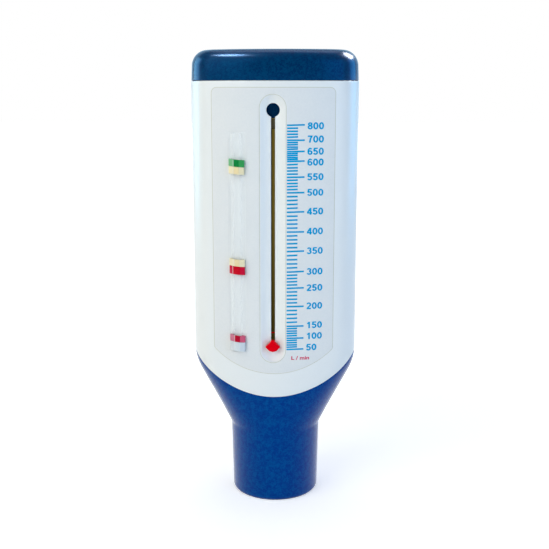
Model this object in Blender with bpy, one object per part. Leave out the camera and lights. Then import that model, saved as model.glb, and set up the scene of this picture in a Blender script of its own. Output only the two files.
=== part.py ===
"""Peak flow meter: a hand-held gauge whose pointer shows how hard a breath was.

The frame has its origin at the centre of the mouthpiece rim, +Z up the body and the scale facing -Y.
All sizes are in metres.
"""

import math

import bmesh
import bpy

MM = 0.001

# Fits
GAP = 0.3 * MM
SLIDE_GAP = 0.25 * MM
RUNNING_GAP = 0.4 * MM
COLOUR_GAP = 0.12 * MM
BITE = 0.35 * MM
PAST = 3.0 * MM
REACH = 60.0 * MM

# Outer form
SEAM_Z = 136.8 * MM
CAP_HEIGHT = 9.5 * MM
CAP_FILLET = 7.0 * MM
SHOULDER_Z = 50.5 * MM
CREASE_Z = 23.65 * MM
BODY_HALF_W = 26.5 * MM
BODY_HALF_D = 16.5 * MM
CORNER_R = 10.85 * MM
FACE_ANGLE = math.radians(20.76)
SHOULDER_R = 24.0 * MM
SHOULDER_SLOPE = math.radians(29.6)
NECK_TOP_R = 14.85 * MM
NECK_RIM_R = 14.3 * MM
NECK_ANGLE = math.radians(24.0)
RIM_FILLET = 0.5 * MM

# Walls
SHELL_WALL = 1.8 * MM
LIP_WALL = 1.35 * MM
LIP_STEP = 0.35 * MM
BLUE_WALL = SHELL_WALL + SLIDE_GAP + LIP_STEP
SOCKET_WALL = 2.25 * MM
RIM_WALL = 1.7 * MM
TROUGH_WALL = 1.3 * MM

# Line between the white shells and the blue mouthpiece, an arc seen from the front
EDGE_DROP = 0.72 * MM
EDGE_SAG = 13.23 * MM
EDGE_ARC_R = (BODY_HALF_W**2 + EDGE_SAG**2) / (2.0 * EDGE_SAG)
EDGE_ARC_Z = SHOULDER_Z - EDGE_DROP - EDGE_SAG + EDGE_ARC_R
LIP_HEIGHT = 4.7 * MM
LIP_ROOT = 2.0 * MM

# Tongue of the rear shell in a groove of the front shell
TONGUE_THICK = 0.75 * MM
TONGUE_LENGTH = 1.1 * MM
TONGUE_ROOT = 1.0 * MM
TONGUE_END = 6.0 * MM

# Faceting
FACE_STEPS = 4
CORNER_STEPS = 6
SHOULDER_STEPS = 5
SLOPE_STEPS = 4
FILLET_STEPS = 6
ROUND = 40
FINE_ROUND = 16
EDGE_ROUND = 64
SIDE_FLAT = 0.8 * MM
LEAST_STEP = 0.2 * MM

# Trough of the pointer
TROUGH_HALF_W = 3.85 * MM
TROUGH_DEPTH = 1.6 * MM
TROUGH_FOOT_DROP = 1.85 * MM
TROUGH_TOP_DROP = 4.3 * MM
TROUGH_BOTTOM_Z = SHOULDER_Z - TROUGH_FOOT_DROP
TROUGH_TOP_Z = SEAM_Z - TROUGH_TOP_DROP
PAD_MARGIN = 1.75 * MM
PAD_FACE_Y = -BODY_HALF_D + TROUGH_DEPTH + TROUGH_WALL
SCOOP_TILT = math.radians(55.0)

# Pointer
POINTER_RISE = 5.25 * MM
POINTER_PROUD = 0.7 * MM
HEAD_HALF_W = 2.5 * MM
HEAD_UP = 2.1 * MM
HEAD_DOWN = 1.95 * MM
HEAD_WIDEST = -0.2 * MM
HEAD_CORNER_R = 0.5 * MM
HEAD_FOOT_R = 1.2 * MM
NECK_HALF_W = 0.35 * MM
NECK_HALF_H = 0.8 * MM
FOOT_HALF_W = 1.9 * MM
FOOT_THICK = 0.7 * MM
FOOT_BELOW = 3.4 * MM
FOOT_ABOVE = 3.8 * MM
FOOT_SIDE_GAP = 1.3 * MM

# Slot and keyhole
SLOT_HALF_W = NECK_HALF_W + GAP
FOOT_PASS = 0.2 * MM
KEYHOLE_R = FOOT_HALF_W + FOOT_PASS
KEYHOLE_DROP = 4.5 * MM

# Scale label
LABEL_HALF_W = 19.0 * MM
LABEL_TOP_DROP = 2.1 * MM
LABEL_CORNER_R = 1.6 * MM
LABEL_FOOT_DROP = 3.85 * MM
LABEL_SAG = 7.7 * MM
LABEL_ARC_R = (LABEL_HALF_W**2 + LABEL_SAG**2) / (2.0 * LABEL_SAG)
LABEL_ARC_Z = TROUGH_BOTTOM_Z - LABEL_FOOT_DROP + LABEL_ARC_R
LABEL_THICK = 0.3 * MM

# Zone rail, in its own frame: u across, v out from the face
RAIL_X = -11.05 * MM
RAIL_RISE = 1.4 * MM
RAIL_DROP = 6.8 * MM
RAIL_FLANGE_HALF_W = 2.5 * MM
RAIL_FLANGE_THICK = 0.4 * MM
RAIL_STEM_HALF_W = 0.95 * MM
RAIL_STEM_HEIGHT = 0.75 * MM
RAIL_HEAD_HALF_W = 1.7 * MM
RAIL_HEAD_EDGE = 0.08 * MM
RAIL_HEAD_RISE = 0.29 * MM
RAIL_TOP_HALF_W = 0.75 * MM

# Zone markers: height of each colour, lower first, and the place of each marker on the rail
CLIP_WALL = 0.4 * MM
CLIP_SIDE_GAP = 0.35 * MM
CLIP_SLANT = 0.09
UPPER_CLIP_DROP = 12.6 * MM
UPPER_CLIP_HEIGHTS = (2.3 * MM, 2.2 * MM)
MIDDLE_CLIP_RISE = 25.3 * MM
MIDDLE_CLIP_HEIGHTS = (2.3 * MM, 2.5 * MM)
LOWER_CLIP_RISE = 0.4 * MM
LOWER_CLIP_HEIGHTS = (3.0 * MM, 2.1 * MM)

# Ledge, gasket and spider under the barrel
LEDGE_DROP = 7.05 * MM
LEDGE_Z = CREASE_Z - LEDGE_DROP
LEDGE_THICK = 1.8 * MM
LEDGE_WIDTH = 1.8 * MM
GASKET_THICK = 0.8 * MM
FLANGE_THICK = 1.2 * MM
SPIDER_HUB_WALL = 1.3 * MM
SPIDER_HUB_BELOW = 0.8 * MM
SPIDER_HUB_ABOVE = 3.0 * MM
SPOKE_WIDTH = 1.6 * MM
SPOKE_INSET = 0.1 * MM
SPOKE_PAIRS = 2
GASKET_Z = LEDGE_Z + LEDGE_THICK + GAP
FLANGE_Z = GASKET_Z + GASKET_THICK + GAP

# Measuring barrel
BARREL_WALL = 1.3 * MM
BARREL_R = min(
    NECK_TOP_R - SOCKET_WALL - RUNNING_GAP,
    -PAD_FACE_Y - GAP - FOOT_THICK - RUNNING_GAP,
)
BARREL_BOTTOM_Z = FLANGE_Z + FLANGE_THICK + GAP
SADDLE_THICK = 1.4 * MM
SADDLE_RISE = 11.5 * MM
SADDLE_DROP = 18.8 * MM
AIRWAY_HALF_D = 8.0 * MM
AIRWAY_INNER_GAP = 2.8 * MM
AIRWAY_OUTER_GAP = 4.0 * MM
EXIT_SLOT_X = 6.2 * MM
EXIT_SLOT_HALF_W = 1.1 * MM
EXIT_SLOT_RISE = 6.2 * MM
EXIT_SLOT_DROP = 1.4 * MM

# Vents
VENT_HALF_W = 8.0 * MM
VENT_HEIGHT = 1.6 * MM
VENT_PITCH = 4.0 * MM
VENT_DROP = 3.0 * MM
VENT_COUNT = 5

# Rod and spring
ROD_R = 1.0 * MM
ROD_TAIL = 1.8 * MM
ROD_IN_CAP = 6.7 * MM
CLIP_RING_WIDTH = 1.3 * MM
CLIP_RING_THICK = 0.6 * MM
SPRING_ROOM = 0.95 * MM
SPRING_WIRE_R = 0.25 * MM
SPRING_TURNS = 15
SPRING_STEPS = 8
WIRE_SIDES = 5

# Piston, placed by the pusher that lies under the pointer's foot
PUSHER_HALF_W = 0.8 * MM
PUSHER_HEIGHT = 2.3 * MM
PUSHER_SHORT = 0.5 * MM
PUSHER_ABOVE_DISC = 0.4 * MM
PISTON_WALL = 1.0 * MM
PISTON_DISC_THICK = 1.2 * MM
PISTON_SKIRT = 4.8 * MM
PISTON_HUB_WALL = 1.1 * MM
PISTON_HUB_ABOVE = 0.2 * MM
PISTON_HUB_LENGTH = 6.0 * MM

# Cap interior
BOSS_WALL = 3.0 * MM
BOSS_DROP = 2.5 * MM
SPIGOT_LENGTH = 2.9 * MM
SKIRT_LENGTH = 5.8 * MM
LIP_NOTCH_GAP = 0.6 * MM
POST_WALL = 1.5 * MM
POST_BELOW = 1.2 * MM
BUFFER_THICK = 2.1 * MM
BUFFER_WIDTH = 2.1 * MM

# Heights and widths that follow from the sizes above
TOP_Z = SEAM_Z + CAP_HEIGHT
PAD_HALF_W = TROUGH_HALF_W + PAD_MARGIN
KEYHOLE_Z = TROUGH_TOP_Z - KEYHOLE_DROP
BOSS_BOTTOM_Z = KEYHOLE_Z - BOSS_DROP
SPIGOT_BOTTOM_Z = BOSS_BOTTOM_Z - SPIGOT_LENGTH
BARREL_TOP_Z = BOSS_BOTTOM_Z - GAP
POST_BOTTOM_Z = BOSS_BOTTOM_Z - POST_BELOW
BUFFER_Z = POST_BOTTOM_Z - GAP - BUFFER_THICK
POINTER_Z = TROUGH_BOTTOM_Z + POINTER_RISE
SLOT_BOTTOM_Z = POINTER_Z - NECK_HALF_H - RUNNING_GAP
FOOT_Y = PAD_FACE_Y + GAP
PUSHER_TOP_Z = POINTER_Z - FOOT_BELOW - GAP
PUSHER_BOTTOM_Z = PUSHER_TOP_Z - PUSHER_HEIGHT
PISTON_TOP_Z = PUSHER_TOP_Z - PUSHER_ABOVE_DISC
PISTON_R = BARREL_R - BARREL_WALL - RUNNING_GAP
PISTON_HUB_TOP_Z = PISTON_TOP_Z + PISTON_HUB_ABOVE
PISTON_HUB_BOTTOM_Z = PISTON_HUB_TOP_Z - PISTON_HUB_LENGTH
BARREL_SLOT_HALF_W = PUSHER_HALF_W + RUNNING_GAP
BARREL_SLOT_BOTTOM_Z = PUSHER_BOTTOM_Z - 2.0 * GAP
BARREL_SLOT_TOP_Z = SPIGOT_BOTTOM_Z - SLIDE_GAP
LEDGE_R = BARREL_R - LEDGE_WIDTH
SPIDER_HUB_BOTTOM_Z = FLANGE_Z - SPIDER_HUB_BELOW
SPIDER_HUB_TOP_Z = FLANGE_Z + FLANGE_THICK + SPIDER_HUB_ABOVE
ROD_BORE_R = ROD_R + GAP
SPIDER_HUB_R = ROD_BORE_R + SPIDER_HUB_WALL
PISTON_HUB_R = ROD_BORE_R + PISTON_HUB_WALL
POST_R = ROD_BORE_R + POST_WALL
SPRING_R = ROD_R + SPRING_ROOM + SPRING_WIRE_R
ROD_BOTTOM_Z = SPIDER_HUB_BOTTOM_Z - ROD_TAIL
ROD_TOP_Z = POST_BOTTOM_Z + ROD_IN_CAP
SADDLE_LOW_Z = SHOULDER_Z + SADDLE_RISE
SADDLE_HIGH_Z = SEAM_Z - SADDLE_DROP
SADDLES_Z = (SADDLE_LOW_Z, (SADDLE_LOW_Z + SADDLE_HIGH_Z) / 2.0, SADDLE_HIGH_Z)
RAIL_BOTTOM_Z = SHOULDER_Z + RAIL_RISE
RAIL_TOP_Z = KEYHOLE_Z - RAIL_DROP
CLIP_HALF_W = RAIL_HEAD_HALF_W + CLIP_SIDE_GAP + CLIP_WALL
LIP_INSET = SHELL_WALL + SLIDE_GAP

# Colour, roughness, metallic and alpha of each finish
FINISHES = {
    "white_shell": ("#ECEEEF", 0.28, 0.0, 1.0),
    "cap_blue": ("#00325F", 0.32, 0.0, 1.0),
    "neck_blue": ("#00488C", 0.34, 0.0, 1.0),
    "label_film": ("#E0E5E7", 0.4, 0.0, 1.0),
    "clear_rail": ("#E9F0F2", 0.08, 0.0, 0.55),
    "marker_green": ("#0A8C42", 0.25, 0.0, 1.0),
    "marker_yellow": ("#ECDEB2", 0.25, 0.0, 1.0),
    "marker_red": ("#C30019", 0.25, 0.0, 1.0),
    "marker_pale": ("#C8D4DE", 0.25, 0.0, 1.0),
    "pointer_red": ("#DC0019", 0.3, 0.0, 1.0),
    "barrel_brown": ("#5A583C", 0.45, 0.0, 1.0),
    "piston_grey": ("#3C3A33", 0.4, 0.0, 1.0),
    "steel": ("#B9BCC0", 0.25, 1.0, 1.0),
    "spring_steel": ("#9A9CA0", 0.35, 1.0, 1.0),
    "spider_white": ("#DADDDF", 0.4, 0.0, 1.0),
    "rubber": ("#26272A", 0.8, 0.0, 1.0),
}


# Meshes


def linear(channel):
    """One sRGB channel, 0 to 255, as a linear value."""
    value = channel / 255.0
    return value / 12.92 if value <= 0.04045 else ((value + 0.055) / 1.055) ** 2.4


def material_of(name):
    """The Principled material of one finish, made when it is first asked for."""
    if name in bpy.data.materials:
        return bpy.data.materials[name]
    colour, roughness, metallic, alpha = FINISHES[name]
    rgb = [linear(int(colour[i : i + 2], 16)) for i in (1, 3, 5)]
    material = bpy.data.materials.new(name)
    material.use_nodes = True
    shader = material.node_tree.nodes["Principled BSDF"]
    shader.inputs["Base Color"].default_value = (*rgb, 1.0)
    shader.inputs["Roughness"].default_value = roughness
    shader.inputs["Metallic"].default_value = metallic
    shader.inputs["Alpha"].default_value = alpha
    material.diffuse_color = (*rgb, alpha)
    return material


def make_object(name, points, faces):
    """A mesh object with its faces turned outwards."""
    mesh = bpy.data.meshes.new(name)
    mesh.from_pydata(points, [], faces)
    work = bmesh.new()
    work.from_mesh(mesh)
    bmesh.ops.recalc_face_normals(work, faces=work.faces[:])
    work.to_mesh(mesh)
    work.free()
    obj = bpy.data.objects.new(name, mesh)
    bpy.context.scene.collection.objects.link(obj)
    return obj


def loft(name, rings):
    """A closed body through rings of equal point count, with flat ends.

    With more than two rings the sides are triangles, because a twisted quad has no one plane.
    """
    count = len(rings[0])
    points = [point for ring in rings for point in ring]
    faces = []
    for level in range(len(rings) - 1):
        low = level * count
        for i in range(count):
            j = (i + 1) % count
            side = (low + i, low + j, low + count + j, low + count + i)
            if len(rings) > 2:
                faces += [side[:3], (side[0], side[2], side[3])]
            else:
                faces.append(side)
    faces.append(tuple(range(count)))
    faces.append(tuple(range(len(points) - count, len(points))))
    return make_object(name, points, faces)


def upright(name, outline, low, high):
    """An outline in X and Y raised from low to high."""
    return loft(name, [[(x, y, z) for x, y in outline] for z in (low, high)])


def crosswise(name, outline, front=-REACH, back=REACH):
    """An outline in X and Z pushed along Y."""
    return loft(name, [[(x, y, z) for x, z in outline] for y in (front, back)])


def box(name, low, high):
    """A box between two corners."""
    outline = [(low[0], low[1]), (high[0], low[1]), (high[0], high[1]), (low[0], high[1])]
    return upright(name, outline, low[2], high[2])


def arc(centre, radius, start, end, steps):
    """Points of an arc, both ends included, with angles in radians."""
    angles = [start + (end - start) * i / steps for i in range(steps + 1)]
    return [
        (centre[0] + radius * math.cos(a), centre[1] + radius * math.sin(a)) for a in angles
    ]


def circle(centre, radius, sides):
    """Points of a whole circle."""
    return arc(centre, radius, 0.0, 2.0 * math.pi, sides)[:-1]


def turned_solid(name, profile, centre=(0.0, 0.0), sides=ROUND):
    """A solid of circles, one for each (radius, z) of the profile."""
    rings = []
    for radius, z in profile:
        rings.append([(x, y, z) for x, y in circle(centre, radius, sides)])
    return loft(name, rings)


def turned_ring(name, profile, sides=ROUND):
    """A ring about Z whose section is the closed profile of (radius, z)."""
    points = []
    for step in range(sides):
        angle = 2.0 * math.pi * step / sides
        for radius, z in profile:
            points.append((radius * math.cos(angle), radius * math.sin(angle), z))
    count = len(profile)
    faces = []
    for step in range(sides):
        here = step * count
        there = (step + 1) % sides * count
        for i in range(count):
            j = (i + 1) % count
            faces.append((here + i, here + j, there + j, there + i))
    return make_object(name, points, faces)


def tube(name, inner, outer, low, high, sides=ROUND):
    """A plain tube about Z."""
    profile = [(inner, low), (outer, low), (outer, high), (inner, high)]
    return turned_ring(name, profile, sides)


def unit(a, b):
    """The direction of (a, b)."""
    length = math.hypot(a, b)
    return a / length, b / length


def rounded(corners, steps=4):
    """An outline whose corners (a, b, radius) are rounded to the radius given."""
    outline = []
    for i, (a, b, radius) in enumerate(corners):
        before, after = corners[i - 1], corners[(i + 1) % len(corners)]
        to_before = unit(before[0] - a, before[1] - b)
        to_after = unit(after[0] - a, after[1] - b)
        half = math.acos(to_before[0] * to_after[0] + to_before[1] * to_after[1]) / 2.0
        middle = unit(to_before[0] + to_after[0], to_before[1] + to_after[1])
        away, reach = radius / math.sin(half), radius / math.tan(half)
        centre = (a + middle[0] * away, b + middle[1] * away)
        ends = []
        for side in (to_before, to_after):
            touch = (a + side[0] * reach, b + side[1] * reach)
            ends.append(math.atan2(touch[1] - centre[1], touch[0] - centre[0]))
        turn = (ends[1] - ends[0] + math.pi) % (2.0 * math.pi) - math.pi
        outline += arc(centre, radius, ends[0], ends[0] + turn, steps)
    return outline


def combine(obj, add=(), cut=(), keep=(), solver="MANIFOLD"):
    """Joins and cuts the object with tool objects, then drops the tools."""
    steps = [(tool, "UNION") for tool in add]
    steps += [(tool, "INTERSECT") for tool in keep]
    steps += [(tool, "DIFFERENCE") for tool in cut]
    for tool, operation in steps:
        modifier = obj.modifiers.new(tool.name, "BOOLEAN")
        modifier.object = tool
        modifier.operation = operation
        modifier.solver = solver
    graph = bpy.context.evaluated_depsgraph_get()
    obj.data = bpy.data.meshes.new_from_object(obj.evaluated_get(graph))
    obj.modifiers.clear()
    for tool, _ in steps:
        bpy.data.objects.remove(tool, do_unlink=True)
    return obj


def finish(obj, material, origin=(0.0, 0.0, 0.0), crease=30.0):
    """Gives a part its material, its shading and its origin."""
    mesh = obj.data
    mesh.name = obj.name
    mesh.materials.clear()
    mesh.materials.append(material_of(material))
    mesh.shade_smooth()
    mesh.set_sharp_from_angle(angle=math.radians(crease))
    for vertex in mesh.vertices:
        vertex.co = [vertex.co[i] - origin[i] for i in range(3)]
    obj.location = origin
    return obj


# The outer form


def mix(a, b, share):
    """The value a share of the way from a to b."""
    return a + (b - a) * share


def half_width(z):
    """Half the body's width at height z on the shoulder."""
    arc_drop = SHOULDER_R * math.sin(SHOULDER_SLOPE)
    drop = SHOULDER_Z - z
    if drop < arc_drop:
        return BODY_HALF_W - SHOULDER_R + math.sqrt(SHOULDER_R**2 - drop**2)
    arc_inset = SHOULDER_R * (1.0 - math.cos(SHOULDER_SLOPE))
    slope_end = BODY_HALF_W - arc_inset
    share = (drop - arc_drop) / (SHOULDER_Z - CREASE_Z - arc_drop)
    return mix(slope_end, NECK_TOP_R, share)


def form_at(z):
    """Half width, half depth, corner radius and half face angle of the outline at height z."""
    if z >= SHOULDER_Z:
        return BODY_HALF_W, BODY_HALF_D, CORNER_R, FACE_ANGLE
    if z <= CREASE_Z:
        radius = mix(NECK_RIM_R, NECK_TOP_R, max(z, 0.0) / CREASE_Z)
        return radius, radius, radius, NECK_ANGLE
    share = (SHOULDER_Z - z) / (SHOULDER_Z - CREASE_Z)
    share = share * share * (3.0 - 2.0 * share)
    return (
        half_width(z),
        mix(BODY_HALF_D, NECK_TOP_R, share),
        mix(CORNER_R, NECK_TOP_R, share),
        mix(FACE_ANGLE, NECK_ANGLE, share),
    )


def outline_at(z, inset=0.0):
    """Outline in X and Y: a shallow arc front and back, joined by round corners."""
    half_w, half_d, corner_r, angle = form_at(z)
    half_w, half_d, corner_r = half_w - inset, half_d - inset, corner_r - inset
    spread = half_w - corner_r
    centre_y = -half_d + corner_r + spread * math.tan(angle / 2.0)
    arc_r = corner_r + spread / math.sin(angle)
    arc_y = -half_d + arc_r
    last = math.acos(max(0.0, min(1.0, (SIDE_FLAT + centre_y) / corner_r)))
    quarter = []
    for i in range(1, FACE_STEPS + 1):
        a = angle * i / FACE_STEPS
        quarter.append((arc_r * math.sin(a), arc_y - arc_r * math.cos(a)))
    for i in range(1, CORNER_STEPS + 1):
        a = mix(angle, last, i / CORNER_STEPS)
        quarter.append((spread + corner_r * math.sin(a), centre_y - corner_r * math.cos(a)))
    right = quarter + [(x, -y) for x, y in reversed(quarter)]
    left = [(-x, -y) for x, y in quarter] + [(-x, y) for x, y in reversed(quarter)]
    return [(0.0, -half_d), *right, (0.0, half_d), *left]


def levels(low, high):
    """Heights of the loft's rings between low and high, both included."""
    arc_bottom = SHOULDER_Z - SHOULDER_R * math.sin(SHOULDER_SLOPE)
    heights = [mix(CREASE_Z, arc_bottom, i / SLOPE_STEPS) for i in range(SLOPE_STEPS + 1)]
    for i in range(SHOULDER_STEPS):
        a = SHOULDER_SLOPE * i / SHOULDER_STEPS
        heights.append(SHOULDER_Z - SHOULDER_R * math.sin(a))
    inside = [z for z in sorted(heights) if low + LEAST_STEP < z < high - LEAST_STEP]
    return [low, *inside, high]


def body_form(name, low, high, inset=0.0):
    """The outer form between two heights, made smaller all round by the inset."""
    rings = []
    for z in levels(low, high):
        rings.append([(x, y, z) for x, y in outline_at(z, inset)])
    return loft(name, rings)


def face_radius():
    """Radius of the shallow arc of the front face."""
    return CORNER_R + (BODY_HALF_W - CORNER_R) / math.sin(FACE_ANGLE)


def edge_disc(name, radius):
    """A disc seen from the front, whose lower edge divides the shells from the mouthpiece."""
    return crosswise(name, circle((0.0, EDGE_ARC_Z), radius, EDGE_ROUND))


def below_edge(name, radius):
    """Everything under the lower edge of the same disc."""
    start = -math.acos(min(1.0, (BODY_HALF_W + PAST) / radius))
    curve = arc((0.0, EDGE_ARC_Z), radius, start, -math.pi - start, EDGE_ROUND // 2)
    left, right = curve[-1], curve[0]
    return crosswise(name, [*curve, (-REACH, left[1]), (-REACH, 0.0), (REACH, 0.0), (REACH, right[1])])


# Tools shared by the two shells


def chambers():
    """Tools that hollow the body and leave three saddles around the barrel."""
    tools = []
    low = CREASE_Z
    for number, z in enumerate(SADDLES_Z):
        tools.append(body_form(f"chamber_{number}", low, z - SADDLE_THICK / 2.0, SHELL_WALL))
        low = z + SADDLE_THICK / 2.0
    tools.append(body_form("chamber_top", low, SEAM_Z + PAST, SHELL_WALL))
    return tools


def barrel_room():
    """Room for the barrel and the boss that closes it."""
    radius = BARREL_R + GAP
    return turned_solid("barrel_room", [(radius, CREASE_Z), (radius, SEAM_Z + PAST)])


def airways():
    """Openings through the saddles, beside the barrel."""
    tools = []
    near, far = BARREL_R + AIRWAY_INNER_GAP, BODY_HALF_W - AIRWAY_OUTER_GAP
    for side in (-1.0, 1.0):
        low_x, high_x = sorted((side * near, side * far))
        tools.append(box(
            f"airway_{side:+.0f}",
            (low_x, -AIRWAY_HALF_D, SHOULDER_Z + PAST),
            (high_x, AIRWAY_HALF_D, SADDLE_HIGH_Z + PAST),
        ))
    return tools


def side_strip(name, inner, outer, front, back, margin):
    """Two upright strips in the side walls, from inner to outer inset and front to back."""
    strips = []
    low, high = SHOULDER_Z + TONGUE_END - margin, SEAM_Z - TONGUE_END + margin
    for side in (-1.0, 1.0):
        low_x, high_x = sorted((side * (BODY_HALF_W - inner), side * (BODY_HALF_W - outer)))
        strips.append(box(f"{name}_{side:+.0f}", (low_x, front, low), (high_x, back, high)))
    return strips


def shell_half(name, other_half, add=()):
    """One half of the white body: hollow, with saddles, and cut to its lower edge."""
    low = EDGE_ARC_Z - EDGE_ARC_R - PAST
    shell = combine(body_form(name, low, SEAM_Z - GAP / 2.0), cut=chambers())
    lower_edge = below_edge("lower_edge", EDGE_ARC_R - GAP / 2.0)
    return combine(shell, add=add, cut=[lower_edge, other_half, barrel_room(), *airways()])


def trough_axis():
    """Radius, and Y of the axis, of the cylinder that scoops the trough."""
    radius = (TROUGH_HALF_W**2 + TROUGH_DEPTH**2) / (2.0 * TROUGH_DEPTH)
    return radius, -BODY_HALF_D + TROUGH_DEPTH - radius


def trough_scoop():
    """A long round-ended scoop."""
    radius, axis_y = trough_axis()
    low, high = TROUGH_BOTTOM_Z + TROUGH_HALF_W, TROUGH_TOP_Z - TROUGH_HALF_W
    profile = []
    for i in range(FILLET_STEPS + 1):
        a = SCOOP_TILT * (1.0 - i / FILLET_STEPS)
        profile.append((radius * math.cos(a), low - radius * math.sin(a)))
    profile += [(r, low + high - z) for r, z in reversed(profile)]
    return turned_solid("trough", profile, (0.0, axis_y))


def trough_pad():
    """Thick strip behind the trough, from the wall to its flat inner face."""
    half = PAD_HALF_W
    low = EDGE_ARC_Z - EDGE_ARC_R - PAST / 2.0
    pad = box("pad", (-half, -REACH, low), (half, PAD_FACE_Y, SEAM_Z - GAP / 2.0))
    outside = body_form("outside", CREASE_Z, SEAM_Z + PAST, SHELL_WALL / 2.0)
    return combine(pad, keep=[outside])


def label_outline(margin):
    """Edge of the scale label in X and Z, made larger by the margin."""
    half_w, radius = LABEL_HALF_W + margin, LABEL_ARC_R + margin
    end = math.acos(half_w / radius)
    bottom = arc((0.0, LABEL_ARC_Z), radius, -math.pi + end, -end, EDGE_ROUND // 3)
    corner_r = LABEL_CORNER_R + margin
    inner_x = half_w - corner_r
    inner_z = SEAM_Z - LABEL_TOP_DROP + margin - corner_r
    right = arc((inner_x, inner_z), corner_r, 0.0, math.pi / 2.0, 4)
    left = arc((-inner_x, inner_z), corner_r, math.pi / 2.0, math.pi, 4)
    return bottom + right + left


def label_seat():
    """Shallow seat of the label, even in depth along the curved face."""
    seat = crosswise("label_seat", label_outline(GAP), back=0.0)
    floor = body_form("label_floor", CREASE_Z, SEAM_Z + PAST, LABEL_THICK + GAP)
    return combine(seat, cut=[floor])


# Rail frame


def rail_point(u, v):
    """X and Y of a place u across the rail and v out from the face."""
    sine = -RAIL_X / face_radius()
    cosine = math.sqrt(1.0 - sine**2)
    face_y = -BODY_HALF_D + face_radius() * (1.0 - cosine)
    return RAIL_X + u * cosine - v * sine, face_y - u * sine - v * cosine


def rail_prism(name, profile, low, high, slant=0.0):
    """A profile of (u, v) run up the rail, its ends falling to the right by the slant."""
    rings = []
    for z in (low, high):
        rings.append([(*rail_point(u, v), z - slant * u) for u, v in profile])
    return loft(name, rings)


def mirrored(half):
    """The points of a half profile on the other side, in reverse order."""
    return [(-u, v) for u, v in reversed(half)]


def rail_seat(name, depth):
    """Tool for the rail's place, the given depth into the face."""
    half = RAIL_FLANGE_HALF_W + GAP
    right = [(half, -depth), (half, PAST)]
    return rail_prism(name, right + mirrored(right), RAIL_BOTTOM_Z - GAP, RAIL_TOP_Z + GAP)


def rail_profile():
    """Section of the rail: a flange let into the body, a stem and a wider head."""
    edge_v = RAIL_STEM_HEIGHT + RAIL_HEAD_EDGE
    right = [
        (RAIL_FLANGE_HALF_W, -RAIL_FLANGE_THICK),
        (RAIL_FLANGE_HALF_W, 0.0),
        (RAIL_STEM_HALF_W, 0.0),
        (RAIL_STEM_HALF_W, RAIL_STEM_HEIGHT),
        (RAIL_HEAD_HALF_W, RAIL_STEM_HEIGHT),
        (RAIL_HEAD_HALF_W, edge_v),
        (RAIL_TOP_HALF_W, edge_v + RAIL_HEAD_RISE),
    ]
    return right + mirrored(right)


def clip_profile():
    """Section of a marker: a cover over the rail's head with a hook under each side."""
    inner_w = RAIL_HEAD_HALF_W + CLIP_SIDE_GAP
    hook_w = RAIL_STEM_HALF_W + GAP
    hook_top = RAIL_STEM_HEIGHT - SLIDE_GAP
    edge_v = RAIL_STEM_HEIGHT + RAIL_HEAD_EDGE
    roof_v = edge_v + RAIL_HEAD_RISE + GAP
    outer = [
        (CLIP_HALF_W, SLIDE_GAP),
        (CLIP_HALF_W, edge_v + GAP),
        (RAIL_TOP_HALF_W, roof_v + CLIP_WALL),
    ]
    inner = [
        (RAIL_TOP_HALF_W, roof_v),
        (inner_w, edge_v + SLIDE_GAP / 2.0),
        (inner_w, hook_top),
        (hook_w, hook_top),
        (hook_w, SLIDE_GAP),
    ]
    return outer + mirrored(outer) + mirrored(inner) + inner


# Parts


def make_front_shell():
    """Front half of the body with the pointer's trough, slot and keyhole."""
    rear = box("rear", (-REACH, -GAP / 2.0, 0.0), (REACH, REACH, 4.0 * REACH))
    shell = shell_half("front_shell", rear, add=[trough_pad()])
    foot_half_w = FOOT_HALF_W + FOOT_SIDE_GAP
    foot_room = box(
        "foot_room",
        (-foot_half_w, PAD_FACE_Y, SHOULDER_Z - PAST),
        (foot_half_w, -BARREL_R + PAST, SEAM_Z + PAST),
    )
    through = PAD_FACE_Y + BITE
    slot = box("slot", (-SLOT_HALF_W, -REACH, SLOT_BOTTOM_Z), (SLOT_HALF_W, through, KEYHOLE_Z))
    hole = circle((0.0, KEYHOLE_Z), KEYHOLE_R, 2 * FINE_ROUND)
    tools = [
        foot_room,
        label_seat(),
        rail_seat("rail_seat", RAIL_FLANGE_THICK + GAP),
        trough_scoop(),
        slot,
        crosswise("keyhole", hole, back=through),
        *side_strip(
            "groove",
            SHELL_WALL - TONGUE_THICK - GAP,
            SHELL_WALL + GAP,
            -GAP / 2.0 - TONGUE_LENGTH - GAP,
            PAST,
            GAP,
        ),
    ]
    return finish(combine(shell, cut=tools), "white_shell")


def make_rear_shell():
    """Rear half of the body with its tongues and its row of air vents."""
    front = box("front", (-REACH, -REACH, 0.0), (REACH, GAP / 2.0, 4.0 * REACH))
    shell = shell_half("rear_shell", front)
    tongues = side_strip(
        "tongue",
        SHELL_WALL - TONGUE_THICK,
        SHELL_WALL,
        -GAP / 2.0 - TONGUE_LENGTH,
        TONGUE_ROOT,
        0.0,
    )
    vents = []
    for number in range(VENT_COUNT):
        z = SADDLE_HIGH_Z - VENT_DROP - VENT_HEIGHT - number * VENT_PITCH
        low = (-VENT_HALF_W, BODY_HALF_D - SHELL_WALL - PAST, z)
        high = (VENT_HALF_W, REACH, z + VENT_HEIGHT)
        vents.append(box(f"vent_{number}", low, high))
    return finish(combine(shell, add=tongues, cut=vents), "white_shell")


def cap_form(name, inset, bottom):
    """Form of the cap, with upright sides and a round upper edge, made smaller by the inset."""
    fillet = CAP_FILLET - inset
    rings = [[(x, y, bottom) for x, y in outline_at(SEAM_Z, inset)]]
    for i in range(FILLET_STEPS + 1):
        a = math.pi / 2.0 * i / FILLET_STEPS
        outline = outline_at(SEAM_Z, inset + fillet * (1.0 - math.cos(a)))
        z = TOP_Z - inset - fillet * (1.0 - math.sin(a))
        rings.append([(x, y, z) for x, y in outline])
    return loft(name, rings)


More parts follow.
